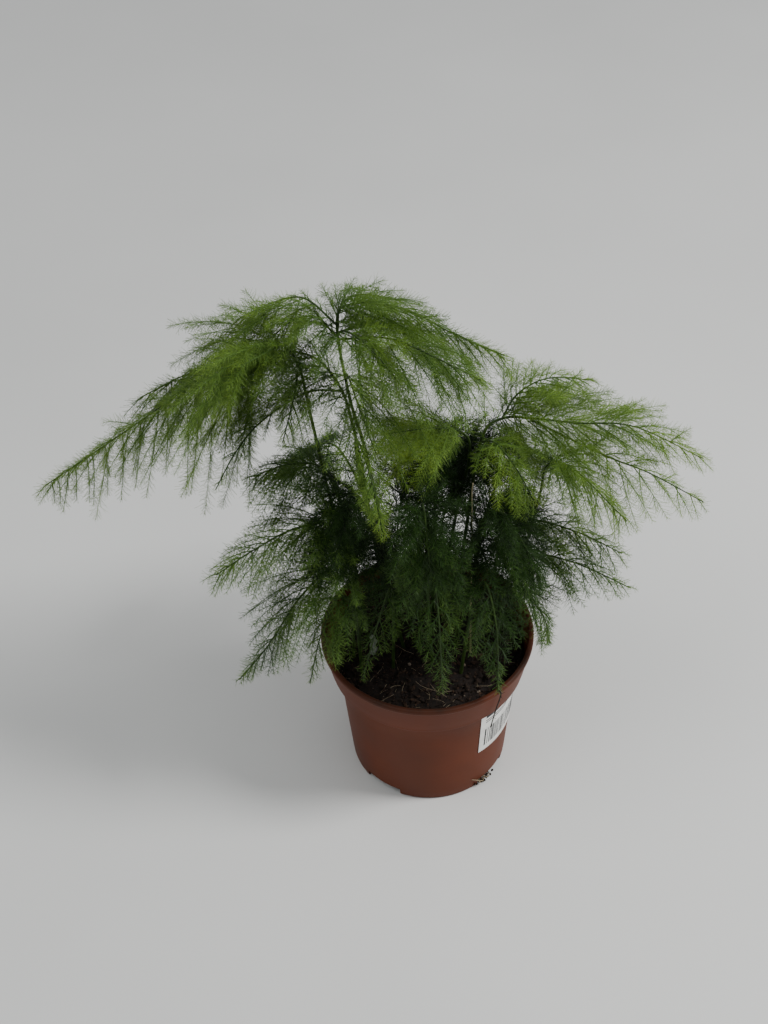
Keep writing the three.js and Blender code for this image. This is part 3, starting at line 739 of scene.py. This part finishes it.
def crumbs():
    rng = np.random.default_rng(11)
    parts = []
    for _ in range(CRUMB_COUNT):
        radius = CRUMBS_WITHIN * np.sqrt(rng.uniform())
        angle = rng.uniform(0, 2 * np.pi)
        x, y = radius * np.cos(angle), radius * np.sin(angle)
        size = min(CRUMB_SIZE * np.exp(rng.normal(0, CRUMB_SIZE_SPREAD)), LARGEST_CRUMB)
        kind = rng.choice([0, 1, 2], p=CRUMB_SHARES)
        z = soil_height(x, y) + rng.uniform(*CRUMB_LIFT)
        parts.append((*lump(rng, np.array([x, y, z]), size * CRUMB_STRETCHES[kind]), kind))
    # Dark crumbs in the threads' notch, painted shade for its dark inside
    for _ in range(NOTCH_SHADE_CRUMB_COUNT):
        angle = THREAD_DIRECTION + rng.normal(2, 4)
        out = body_radius(THREAD_HEIGHT) + rng.uniform(*NOTCH_SHADE_CRUMB_OUT)
        at = polar(angle, out, rng.uniform(*NOTCH_SHADE_CRUMB_HEIGHT))
        parts.append((*lump(rng, at, rng.uniform(*NOTCH_SHADE_CRUMB_SIZE)), rng.choice([0, 1])))
    piece("soil_crumbs", parts, CRUMBS, ["soil"])


def wiggly(rng, start, direction, length, steps, bend):
    """A wandering line that stays near the level of its start."""
    points = [np.array(start, float)]
    for _ in range(steps):
        direction = unit(direction + rng.normal(0, bend, 3))
        direction[2] *= 0.4
        points.append(points[-1] + direction * length / steps)
    return np.array(points)


def fibres():
    rng = np.random.default_rng(23)
    parts = []
    spots = list(FIBRE_SPOTS)
    while len(spots) < FIBRE_COUNT:
        radius, angle = FIBRES_WITHIN * np.sqrt(rng.uniform()), rng.uniform(0, 2 * np.pi)
        spots.append((radius * np.cos(angle), radius * np.sin(angle)))
    for x, y in spots:
        at = [x, y, soil_height(x, y) + rng.uniform(*FIBRE_LIFT)]
        direction = unit(rng.normal(0, 1, 3) * [1, 1, 0.2])
        line = wiggly(rng, at, direction, rng.uniform(*FIBRE_LENGTH), 7, 0.14)
        inside = np.minimum(1, FIBRE_TIPS_WITHIN / np.hypot(line[:, 0], line[:, 1]))
        line[:, :2] *= inside[:, None]
        parts.append((*tube(line, FIBRE_RADIUS, 4), 0))
    piece("soil_fibres", parts, [FIBRE], ["soil"])


def beads():
    shape = bmesh.new()
    for i in range(BEAD_COUNT):
        x = BEAD_ROW_X + (i % 2) * BEAD_ZIGZAG
        at = Vector((x, (i - BEAD_COUNT // 2) * BEAD_PITCH, SOIL_TOP + BEAD_LIFT))
        bmesh.ops.create_icosphere(shape, subdivisions=3, radius=BEAD_RADIUS, matrix=Matrix.Translation(at))
    vertices = np.array([v.co for v in shape.verts])
    faces = [[v.index for v in f.verts] for f in shape.faces]
    shape.free()
    piece("fertiliser_beads", [(vertices, faces, 0)], [BEADS], ["soil"], smooth_under=180)


def root_threads():
    """Threads that leave the soil inside, pass through the notch and climb the pot's outside."""
    rng = np.random.default_rng(31)
    parts = []
    for offset, drift, top in THREADS:
        low, out = THREAD_HEIGHT, body_radius(top) + THREAD_OUT
        steps = [(0, THREAD_ROOT_RADIUS, low + 0.6), (0, BASE_RADIUS - 1.5, low), (0.2, out + 0.4, low),
                 (0.45, out + 0.7, (low + top) / 2), (0.7, out + 0.1, (low + 2 * top) / 3), (1, out, top)]
        line = np.array([polar(THREAD_DIRECTION + offset + drift * share, r, z) for share, r, z in steps])
        line[1:] += rng.normal(0, 0.22, (len(line) - 1, 3))
        parts.append((*tapered(smoothed(line, THREAD_RINGS), THREAD_RADII, 6), 0))
    piece("root_threads", parts, [FIBRE], ["soil"], smooth_under=60)


# Dry bits of plant

def dead_stem(rng):
    foot, top = np.array(DEAD_STEM_FOOT, float), np.array(DEAD_STEM_TOP, float)
    line = foot + np.linspace(0, 1, DEAD_STEM_RINGS)[:, None] * (top - foot)
    line[1:-1, :2] += np.cumsum(rng.normal(0, 0.1, (DEAD_STEM_RINGS - 2, 2)), 0)
    piece("dead_stem", [(*tapered(line, DEAD_STEM_RADII, 7), 0)], [DRY_STEM], ["dry_stem"],
          smooth_under=60)


def withered_strand(rng):
    line = smoothed([polar(*step) for step in STRAND_ROUTE], STRAND_RINGS)
    parts = [(*tapered(line, STRAND_RADII, 6), 0)]
    for k in STRAND_HAIRS:
        out = unit(rng.normal(0, 1, 3) + heading(37) * 0.8 - UP * 0.7)
        hair = [line[k], line[k] + out * rng.uniform(*HAIR_LENGTH)]
        parts.append((*tube(hair, HAIR_RADII, 3), 0))
    piece("withered_strand", parts, [DRY_STRAND], ["dry_strand"])


# Fronds. A limb has the points that its stem passes, the share of it that is bare, how many branchlets
# it has, their longest reach on the far and the near side, how far they droop, and how much more they
# lean towards the limb's tip than the usual angle.

def limb(points, bare, count, far, near, droop, acute=0):
    return dict(points=np.array(points, float), bare=bare, count=count, far=far, near=near, droop=droop,
                acute=acute)


def bow(x, y, direction, rise, reach, drop, *rest):
    """A plain frond's limb: it rises from its foot and bows over in one direction."""
    foot = np.array([x, y, SOIL_TOP])
    steps = [(0, 0), (0.12, rise * 0.6), (0.42, rise), (0.76, rise - drop * 0.4), (1, rise - drop)]
    return limb([foot + polar(direction, reach * share, up) for share, up in steps], *rest)


# Each frond's tone of green, from 0 for the darkest to 1 for the lightest. It is partly growth, with new
# growth lightest on the high arches, and partly painted shade: the fronds deep in the middle, hanging at the
# front and at the back are darkest where the plant shades them. Then how many branchlets fill the room
# between its own for each of those, how many degrees the rising ones turn up at most, the pitch of its
# whorls of needles, and its limbs
FRONDS = {
    "left_arch": (0.58, 2, 42, 1.5, [
        limb([(-30, 15, 76), (-44, 15, 160), (-51, 18, 214), (-56, 22, 246), (-68, 24, 256), (-91, 26, 242),
              (-136, 30, 205), (-184, 32, 168)], 0.5, 30, 62, 58, 0.42, 10),
        limb([(-56, 22, 240), (-57, 14, 236), (-60, 7, 228), (-64, 1, 216)], 0.1, 9, 15, 15, 0.7)]),
    "top_arch": (0.53, 1.1, 28, 1.5, [
        limb([(-13, 20, 76), (-26, 20, 185), (-33, 22, 223), (-37, 26, 262), (-31, 30, 270), (-8, 30, 267),
              (16, 27, 253), (37, 20, 246)], 0.48, 27, 30, 48, 0.4, 14),
        limb([(-37, 26, 262), (-51, 36, 270), (-66, 42, 264), (-83, 44, 254)], 0.05, 15, 10, 50, 0.45, 10),
        limb([(-36, 25, 255), (-14, 12, 264), (6, 2, 260), (25, -2, 250)], 0.1, 15, 36, 48, 0.5, 10),
        limb([(-34, 24, 236), (-32, 8, 244), (-28, -6, 238), (-22, -18, 224)], 0.1, 12, 38, 38, 0.5),
        limb([(-37, 26, 258), (-32, 14, 267), (-22, 2, 266), (-10, -8, 254)], 0.02, 18, 36, 38, 0.5),
        limb([(-37, 26, 258), (-35, 34, 266), (-26, 43, 266), (-8, 48, 258)], 0.02, 16, 24, 28, 0.4),
        limb([(-38, 27, 256), (-47, 29, 265), (-60, 26, 263), (-74, 18, 250)], 0.02, 18, 24, 28, 0.45)]),
    "back_left_arch": (0.48, 1.6, 14, 1.9, [
        limb([(-20, 28, 76), (-27, 27, 150), (-32, 26, 200), (-38, 29, 226), (-52, 37, 238), (-80, 46, 232),
              (-110, 50, 219), (-134, 50, 206)], 0.4, 27, 24, 58, 0.4, 6),
        limb([(-36, 29, 222), (-52, 24, 226), (-73, 14, 219), (-86, 4, 209), (-97, 0, 190)],
             0.2, 8, 16, 16, 0.1)]),
    "right_arch": (0.62, 1, 80, 1.5, [
        limb([(14, 12, 76), (20, 14, 140), (27, 16, 199), (37, 20, 209), (53, 20, 208), (73, 18, 206),
              (98, 14, 206), (131, 10, 188)], 0.42, 30, 60, 42, 0.22, 6),
        limb([(50, 20, 208), (84, 6, 196), (104, -2, 191), (130, -6, 175)], 0.15, 12, 30, 30, 0.4, 6),
        limb([(27, 16, 199), (33, 5, 207), (42, -6, 200), (50, -14, 186)], 0.05, 14, 26, 26, 0.5),
        limb([(37, 20, 209), (45, 28, 217), (60, 36, 219), (82, 42, 212)], 0.02, 22, 28, 30, 0.3)]),
    "centre_spray": (0.7, 2.6, 60, 1.6, [
        limb([(6, 14, 76), (15, 15, 150), (22, 17, 190), (18, 15, 206), (3, 9, 214), (-19, 4, 216)],
             0.64, 18, 38, 30, 0.4)]),
    "right_spray": (0.56, 0.9, 40, 1.8, [
        limb([(28, 6, 76), (46, 4, 130), (54, 4, 172), (57, 2, 195), (68, -6, 199), (92, -20, 178)],
             0.6, 20, 36, 30, 0.6, 6)]),
    "drooping_tip": (0.58, 4, 60, 1.5, [
        limb([(-12, -2, 76), (-24, 2, 150), (-31, 2, 206), (-29, -6, 219), (-24, -24, 211), (-20, -35, 188)],
             0.66, 12, 12, 12, 0.4)]),
    "left_middle": (0.4, 1.5, 30, 2.1, [
        limb([(-34, 8, 76), (-36, 12, 140), (-46, 13, 186), (-62, 11, 194), (-80, 8, 190)],
             0.22, 26, 32, 44, 0.5)]),
    "left_low": (0.46, 1.5, 60, 2.1, [
        limb([(-38, -6, 76), (-36, -2, 130), (-42, -2, 164), (-60, -8, 171), (-80, -17, 167),
              (-99, -23, 157)], 0.24, 26, 43, 38, 0.4, 6)]),
    "left_front": (0.42, 1.2, 50, 2.1, [
        limb([(-34, -18, 76), (-35, -12, 120), (-42, -14, 150), (-60, -22, 140), (-78, -31, 115),
              (-93, -38, 99)], 0.2, 30, 50, 42, 0.4, 10),
        limb([(-34, -18, 76), (-36, -18, 120), (-42, -24, 140), (-52, -32, 122), (-59, -38, 94)],
             0.3, 18, 28, 30, 0.6)]),
    "right_middle": (0.42, 1.1, 60, 2.1, [
        limb([(36, -2, 76), (40, 0, 116), (50, 0, 138), (72, -4, 136), (99, -12, 125)],
             0.22, 23, 38, 34, 0.5)]),
    "right_high": (0.44, 1.4, 60, 2.1, [
        limb([(34, 12, 76), (36, 10, 130), (48, 9, 153), (72, 6, 148), (96, 2, 135)],
             0.24, 23, 38, 38, 0.5)]),
    "right_front": (0.34, 1, 50, 2.1, [
        limb([(32, -18, 76), (36, -16, 116), (44, -16, 134), (56, -19, 115), (60, -21, 97)],
             0.22, 23, 40, 34, 0.5)]),
    "front_hanging": (0.24, 0.5, 50, 2.1, [
        limb([(2, -12, 76), (0, -17, 140), (1, -28, 172), (4, -44, 142), (5, -51, 98)],
             0.24, 27, 28, 28, 0.7)]),
    "front_right_hanging": (0.22, 0.4, 50, 2.1, [
        limb([(16, -20, 76), (21, -22, 126), (26, -30, 152), (31, -42, 134), (32, -50, 96)],
             0.24, 24, 26, 26, 0.7)]),
    "front_left_low": (0.26, 0, 50, 2.2, [
        limb([(-18, -16, 76), (-17, -18, 120), (-18, -24, 144), (-25, -33, 128), (-33, -40, 98)],
             0.28, 21, 20, 20, 0.7)]),
    "back_left": (0.2, 0.9, 60, 2.2, [bow(-19, 35, 222, 84, 78, 40, 0.26, 23, 44, 44, 0.5)]),
    "back_middle": (0.2, 0.6, 60, 2.4, [bow(2, 38, 176, 82, 74, 40, 0.26, 23, 44, 44, 0.5)]),
    "back_right": (0.2, 0.9, 60, 2.2, [bow(24, 30, 132, 84, 72, 40, 0.26, 23, 42, 42, 0.5)]),
    "inner_left": (0.11, 2.8, 80, 2.1, [
        bow(-16, 4, 300, 112, 44, 34, 0.16, 27, 42, 42, 0.5),
        limb([(-16, 4, 76), (-14, 10, 140), (-8, 15, 178), (6, 18, 194)], 0.4, 20, 40, 40, 0.4)]),
    "inner_right": (0.11, 2.8, 80, 2.1, [
        bow(14, -4, 62, 106, 44, 34, 0.16, 27, 40, 40, 0.5),
        limb([(14, -4, 76), (24, 2, 130), (33, 7, 160), (48, 11, 170)], 0.3, 20, 38, 38, 0.4)]),
    "inner_front": (0.14, 2.5, 80, 2, [
        bow(-4, -6, 8, 118, 34, 30, 0.16, 27, 40, 40, 0.5),
        limb([(-4, -6, 76), (-13, 0, 118), (-23, 8, 142), (-36, 16, 146)], 0.3, 18, 36, 36, 0.4)]),
    "inner_back": (0.11, 2.7, 80, 2.2, [
        bow(4, 24, 160, 104, 36, 26, 0.16, 27, 42, 42, 0.5),
        limb([(4, 24, 76), (10, 27, 140), (22, 27, 180), (40, 22, 194)], 0.4, 20, 42, 42, 0.4)]),
}


def chance(seed, k):
    """A repeatable number from 0 to 1."""
    value = np.sin(seed * 12.9898 + k * 78.233) * 43758.5453
    return value - np.floor(value)


def branch_share(u):
    """How long a branchlet is, as a share of the longest, by its place on the leafy stretch."""
    growing = min(1, max(FIRST_BRANCH_SHARE + u / LONGEST_BRANCH_AT, FIRST_BRANCH_SHARE))
    return LAST_BRANCH_SHARE + (1 - LAST_BRANCH_SHARE) * growing * (1 - u) ** BRANCH_SHORTENING


def shaded(height):
    """How short a strand that starts at this height grows in the shade over the soil, as a share."""
    return np.clip((height - SOIL_TOP) / SHADED_DEPTH, SHADED_LENGTH, 1)


def branchlet(spec, seed, k, way):
    """Branchlet number k of a limb, to one side of it: its start, its direction, its bend and its
    length, the normal of the plane that its spray lies in, and its place on the leafy stretch."""
    u = (k + 0.5) / spec["count"]
    t = spec["bare"] + (1 - spec["bare"]) * u
    points = spec["points"]
    along = unit(catmull(points, t + 0.004) - catmull(points, t - 0.004))
    span = points[-1] - catmull(points, spec["bare"])
    across = unit(np.cross(UP, span)) * way
    angle = np.radians(BRANCH_ANGLE - spec["acute"] - ANGLE_CLOSING * u
                       + ANGLE_SPREAD * (chance(seed, k) - 0.5))
    direction = unit(along * np.cos(angle) + across * np.sin(angle)
                     + UP * RISE_SPREAD * (chance(seed, k + 40) - 0.5))
    longest = spec["far"] if across[1] > 0 else spec["near"]
    root = catmull(points, t)
    length = longest * branch_share(u) * (LEAST_LENGTH + LENGTH_CHANCE * chance(seed, k + 80))
    length *= shaded(root[2])
    droop = spec["droop"] * (LEAST_DROOP + DROOP_CHANCE * chance(seed, k + 120))
    bend = along * FORWARD_BEND - UP * droop
    return root, direction, bend, length, unit(np.cross(direction, along)), u


def turned_about(vector, axis, degrees):
    """A vector turned about a unit axis."""
    angle = np.radians(degrees)
    return (vector * np.cos(angle) + np.cross(axis, vector) * np.sin(angle)
            + axis * (axis @ vector) * (1 - np.cos(angle)))


def fill_branchlet(spec, seed, share, hanging, rise, rng):
    """A shorter branchlet between the limb's own, turned out of their plane. The first ones stand on the
    bare stretch just before it, and those that rise droop less."""
    k = (share * (1 + FILL_EARLY) - FILL_EARLY) * spec["count"] - 0.5
    root, direction, bend, length, flat, u = branchlet(spec, seed, k, rng.choice([-1, 1]))
    along = unit(np.cross(flat, direction))
    turn = rng.uniform(*(FILL_HANGING if hanging else (FILL_LEAST_RISE, rise)))
    turned = [turned_about(direction, along, way * turn) for way in (-1, 1)]
    direction = min(turned, key=lambda each: each[2] * (1 if hanging else -1))
    bend = bend * (HANGING_DROOP if hanging else RISING_DROOP)
    length *= HANGING_SHARE if hanging else RISING_SHARE
    return root, direction, bend, length, unit(np.cross(direction, along)), u


def lifted(points):
    """The same points, raised where they would pass through the soil, the pot's rim or the floor."""
    radius = np.hypot(points[:, 0], points[:, 1])
    past_rim = (radius - RIM_RADIUS + WALL) / RIM_REACH
    over_rim = POT_HEIGHT + RIM_CLEAR - (POT_HEIGHT - SOIL_TOP) * past_rim ** 2
    ground = np.where(radius < RIM_RADIUS - WALL, SOIL_TOP + SOIL_CLEAR, FLOOR_CLEAR)
    points[:, 2] = np.maximum(points[:, 2], np.maximum(over_rim, ground))
    return points


def line_of(root, direction, bend, length, step):
    """A strand's points, at least three, that leave its root in one direction and bend away from it."""
    count = max(3, int(np.ceil(length / step)) + 1)
    s = np.linspace(0, 1, count)[:, None]
    return lifted(root + length * (s * direction + s ** 2 * bend))


def twigs_of(line, length, flat, bend, rng):
    """The twigs of one branchlet, alternately to each side. They lean along it, longest near its root,
    and its outer end is a plain brush."""
    first, last = TWIG_STRETCH
    count = int(length * (last - first) / TWIG_PITCH)
    found = []
    along = tangents(line)
    for j in range(count):
        share = first + (last - first) * (j + rng.uniform(0.2, 0.8)) / count
        at = share * (len(line) - 1)
        i = min(int(at), len(line) - 2)
        root = line[i] + (at - i) * (line[i + 1] - line[i])
        side = unit(np.cross(flat, along[i])) * (1 if j % 2 == 0 else -1)
        angle = np.radians(rng.uniform(*TWIG_ANGLES))
        direction = unit(along[i] * np.cos(angle) + side * np.sin(angle) + flat * rng.normal(0, TWIG_LEAN))
        longest = min(length * TWIG_SHARE, LONGEST_TWIG)
        reach = longest * (1 - share) ** TWIG_SHORTENING * rng.uniform(*TWIG_LENGTHS)
        reach *= shaded(root[2])
        if reach > SHORTEST_TWIG:
            found.append((root, direction, bend * 0.8 + along[i] * 0.15, reach))
    return found


def tufts(line, flat, rng, tone, first, pitch):
    """Needles in whorls along a line, in a brush that is flatter than it is wide and narrows at its
    end: their roots, tips and tones, which carry both growth and painted shade."""
    travelled = np.concatenate([[0], np.cumsum(np.linalg.norm(np.diff(line, axis=0), axis=1))])
    length = travelled[-1]
    places = np.arange(first + pitch * rng.uniform(), length, pitch)
    count = len(places) * NEEDLES_PER_TUFT
    at = np.repeat(places, NEEDLES_PER_TUFT) + rng.uniform(-TUFT_DEPTH, TUFT_DEPTH, count)
    at = np.clip(at, 0, length)
    roots = np.stack([np.interp(at, travelled, line[:, i]) for i in range(3)], 1)
    directions = tangents(line)
    along = unit(np.stack([np.interp(at, travelled, directions[:, i]) for i in range(3)], 1))
    wide = unit(np.cross(along, flat))
    thick = np.cross(along, wide)
    turn = np.arange(count) * TUFT_TURN + rng.uniform(-TUFT_TURN_SPREAD, TUFT_TURN_SPREAD, count)
    out = unit(wide * np.cos(turn)[:, None] + thick * np.sin(turn)[:, None] * BRUSH_FLATNESS)
    to_end = np.clip((length - at) / BRUSH_END, 0, 1)
    angle = np.radians(NEEDLE_ANGLE + rng.normal(0, NEEDLE_ANGLE_SPREAD, count))
    angle = angle * (END_ANGLE_SHARE + (1 - END_ANGLE_SHARE) * to_end)
    reach = NEEDLE_LENGTH * rng.uniform(*NEEDLE_LENGTHS, count)
    reach = reach * (END_LENGTH_SHARE + (1 - END_LENGTH_SHARE) * to_end)
    tips = roots + (along * np.cos(angle)[:, None] + out * np.sin(angle)[:, None]) * reach[:, None]
    ages_and_shade = tone + NEEDLE_AGE_ALONG * (at / length) ** 2 + rng.normal(0, NEEDLE_AGE_CHANCE, count)
    return roots, tips, ages_and_shade


def needle_mesh(roots, tips, ages_and_shade):
    """A slim closed sliver for each needle, of four faces between an edge across its root and a shorter
    one, at right angles to it, across its point. Young needles are slimmer."""
    along = unit(tips - roots)
    first = unit(np.cross(along, np.where(np.abs(along[:, 2:]) > 0.9, [1.0, 0, 0], UP)))
    second = np.cross(along, first)
    breadth = OLD_BREADTH - YOUNG_SLIMNESS * np.clip(ages_and_shade, 0, 1)[:, None]
    root = first * breadth * NEEDLE_WIDTH / 2
    point = second * breadth * NEEDLE_POINT_WIDTH / 2
    vertices = np.stack([roots - root, roots + root, tips - point, tips + point], 1).reshape(-1, 3)
    faces = np.array([[0, 3, 1], [1, 2, 0], [0, 2, 3], [1, 3, 2]])
    starts = 4 * np.arange(len(roots))[:, None, None]
    return vertices, (faces + starts).reshape(-1, 3).tolist()


def tone_column(age_and_shade):
    """The left, middle and right of a narrow column of the map at a tone."""
    middle = np.clip(age_and_shade, 0.02, 0.98)
    return middle - NEEDLE_MAP_HALF_WIDTH, middle, middle + NEEDLE_MAP_HALF_WIDTH


def round_spot(centre, middle, half_width, half_height, sides):
    """A flat end's corners on the map, round a spot."""
    return [(centre + half_width * np.sin(a), middle + half_height * np.cos(a))
            for a in np.arange(sides) * 2 * np.pi / sides]


def needle_map(ages_and_shade):
    """Each needle's faces on the map, as tall triangles at its tone."""
    left, middle, right = tone_column(ages_and_shade[:, None])
    low, high = NEEDLE_MAP_LOW + MAP_EDGE, 1 - MAP_EDGE
    from_root = [(left, low), (middle, high), (right, low)]
    to_point = [(middle, low), (left, high), (right, high)]
    spots = from_root * 2 + to_point * 2
    across = np.concatenate([u for u, _ in spots], 1)
    up = np.tile([v for _, v in spots], (len(ages_and_shade), 1))
    return np.stack([across, up], -1).reshape(-1, 2)


def twig_map(rings, age_and_shade):
    """A twig's faces on the map, in a narrow column at its tone."""
    left, middle, right = tone_column(age_and_shade)
    low, high = NEEDLE_MAP_LOW + MAP_EDGE, NEEDLE_MAP_LOW + TWIG_MAP_HEIGHT
    quad = [(left, low), (right, low), (right, high), (left, high)]
    end = round_spot(middle, (low + high) / 2, NEEDLE_MAP_HALF_WIDTH, 0.05, TWIG_SIDES)
    return np.array(quad * (TWIG_SIDES * (rings - 1)) + end * 2)


def stem_map(rings, strip):
    """A stem's faces unrolled on a strip of their own, with its two ends beside it."""
    low, high = (strip + 0.1) * STEM_STRIP, (strip + 0.8) * STEM_STRIP
    across = np.linspace(0.06, 0.99, rings)
    up = np.linspace(low, high, STEM_SIDES + 1)
    sides = [(across[i + a], up[k + b]) for i in range(rings - 1) for k in range(STEM_SIDES)
             for a, b in ((0, 0), (0, 1), (1, 1), (1, 0))]
    ends = [spot for centre in (0.015, 0.04)
            for spot in round_spot(centre, (low + high) / 2, 0.01, 0.02, STEM_SIDES)]
    return np.array(sides + ends)


def frond(index, name, tone, fill, rise, pitch, limbs):
    """One frond as one mesh: stems, branchlets and twigs as tubes, and needles along all of them."""
    rng = np.random.default_rng(100 + index)
    parts, maps, brushes = [], [], []
    for j, spec in enumerate(limbs):
        seed = index + 1 + 30 * j
        stem = smoothed(spec["points"], STEM_RINGS)
        tip_flat = np.cross(stem[-1] - stem[-2], [-1.0, 0.3, 0])
        brushes.append((stem[int(STEM_RINGS * TIP_SHARE):], tip_flat, tone + STEM_TIP_YOUNGER, TIP_BARE))
        if j == 0:
            stem = np.vstack([stem[0] - UP * STEM_BURIED, stem])
        widest = STEM_RADIUS if j == 0 else FORK_RADIUS
        parts.append((*tapered(stem, (widest, STEM_TIP_RADIUS), STEM_SIDES), 1))
        maps.append(stem_map(len(stem), j))
        strands = [branchlet(spec, seed, k, 1 if k % 2 == 0 else -1) for k in range(spec["count"])]
        more = int(fill * spec["count"])
        strands += [fill_branchlet(spec, seed, i / more, i % 3 > 0, rise, rng) for i in range(more)]
        for root, direction, bend, length, flat, u in strands:
            line = line_of(root, direction, bend, length, BRANCH_STEP)
            drift = noise.noise(Vector(line[len(line) // 2]) / TONE_DRIFT)
            # A strand's tone: its frond's, with painted shade in it, drifting with growth along the limb, by
            # place and by chance
            age_and_shade = tone + AGE_ALONG_LIMB * (u - AGE_MIDDLE) + AGE_DRIFT * drift + rng.normal(0, AGE_CHANCE)
            parts.append((*tapered(line, BRANCH_RADII, TWIG_SIDES), 0))
            maps.append(twig_map(len(line), age_and_shade - TWIG_YOUNGER))
            brushes.append((line, flat, age_and_shade, BRANCH_BARE))
            for twig in twigs_of(line, length, flat, bend, rng):
                twig_line = line_of(*twig, TWIG_STEP)
                parts.append((*tapered(twig_line, TWIG_RADII, TWIG_SIDES), 0))
                maps.append(twig_map(len(twig_line), age_and_shade))
                brushes.append((twig_line, flat, age_and_shade + TWIG_YOUNGER, TWIG_BARE))
    found = [tufts(line, flat, rng, age_and_shade, first, pitch) for line, flat, age_and_shade, first in brushes]
    roots, tips, ages_and_shade = (np.concatenate(each) for each in zip(*found))
    parts.append((*needle_mesh(roots, tips, ages_and_shade), 0))
    maps.append(needle_map(ages_and_shade))
    piece(f"fern_{name}", parts, [NEEDLES, STEMS], [f"frond_{name}"], uvs=np.vstack(maps))


# Floor, light and camera

def floor():
    """Pale matt board: nearly even, with a faint broad drift of tone."""
    made, tree, shader, place = material("pale_floor", Roughness=0.55, IOR=1.45)
    drift = node(tree, "ShaderNodeTexNoise", {"Scale": per_mm(FLOOR_DRIFT), "Detail": 3.0},
                 {"Vector": place})
    colours = node(tree, "ShaderNodeValToRGB", links={"Fac": drift.outputs["Fac"]},
                   stops=[(0.3, "#cfcfcc"), (0.7, "#d6d6d3")])
    tree.links.new(colours.outputs["Color"], shader.inputs["Base Color"])
    mesh = bpy.data.meshes.new("floor")
    corners = [(-1, -1), (1, -1), (1, 1), (-1, 1)]
    mesh.from_pydata([(x * FLOOR_HALF_SIDE, y * FLOOR_HALF_SIDE, 0) for x, y in corners], [], [(0, 1, 2, 3)])
    mesh.materials.append(made)
    ground = bpy.data.objects.new("floor", mesh)
    bpy.context.scene.collection.objects.link(ground)


def lamp(name, place, target, size, power):
    """A soft round lamp that faces its target."""
    data = bpy.data.lights.new(name, "AREA")
    data.shape = "DISK"
    data.size = size
    data.energy = power
    made = bpy.data.objects.new(name, data)
    bpy.context.scene.collection.objects.link(made)
    made.location = place
    made.rotation_euler = (Vector(target) - Vector(place)).to_track_quat("-Z", "Y").to_euler()


def sky():
    """Even light from all round, a little cool."""
    world = bpy.data.worlds.new("studio")
    world.use_nodes = True
    background = world.node_tree.nodes["Background"]
    background.inputs["Color"].default_value = linear(SKY_COLOUR)
    background.inputs["Strength"].default_value = SKY_STRENGTH
    bpy.context.scene.world = world


def camera():
    data = bpy.data.cameras.new("camera")
    data.sensor_width = SENSOR_WIDTH
    data.lens = SENSOR_WIDTH * LENS_PIXELS / LONG_SIDE_PIXELS
    data.clip_start, data.clip_end = CAMERA_RANGE
    made = bpy.data.objects.new("camera", data)
    bpy.context.scene.collection.objects.link(made)
    pitch, roll = np.radians(CAMERA_PITCH), np.radians(CAMERA_ROLL)
    ahead = np.array([0, np.cos(pitch), -np.sin(pitch)])
    level = np.array([1.0, 0, 0])
    above = np.cross(level, ahead)
    right = np.cos(roll) * level + np.sin(roll) * above
    top = -np.sin(roll) * level + np.cos(roll) * above
    rows = Matrix([[right[i], top[i], -ahead[i]] for i in range(3)]).to_4x4()
    made.matrix_world = Matrix.Translation([each * MM for each in CAMERA_PLACE]) @ rows
    bpy.context.scene.camera = made


pot()
label()
soil()
crumbs()
fibres()
beads()
root_threads()
dry_rng = np.random.default_rng(41)
dead_stem(dry_rng)
withered_strand(dry_rng)
for index, (name, values) in enumerate(FRONDS.items()):
    frond(index, name, *values)
floor()
for name, values in LAMPS.items():
    lamp(name, *values)
sky()
camera()
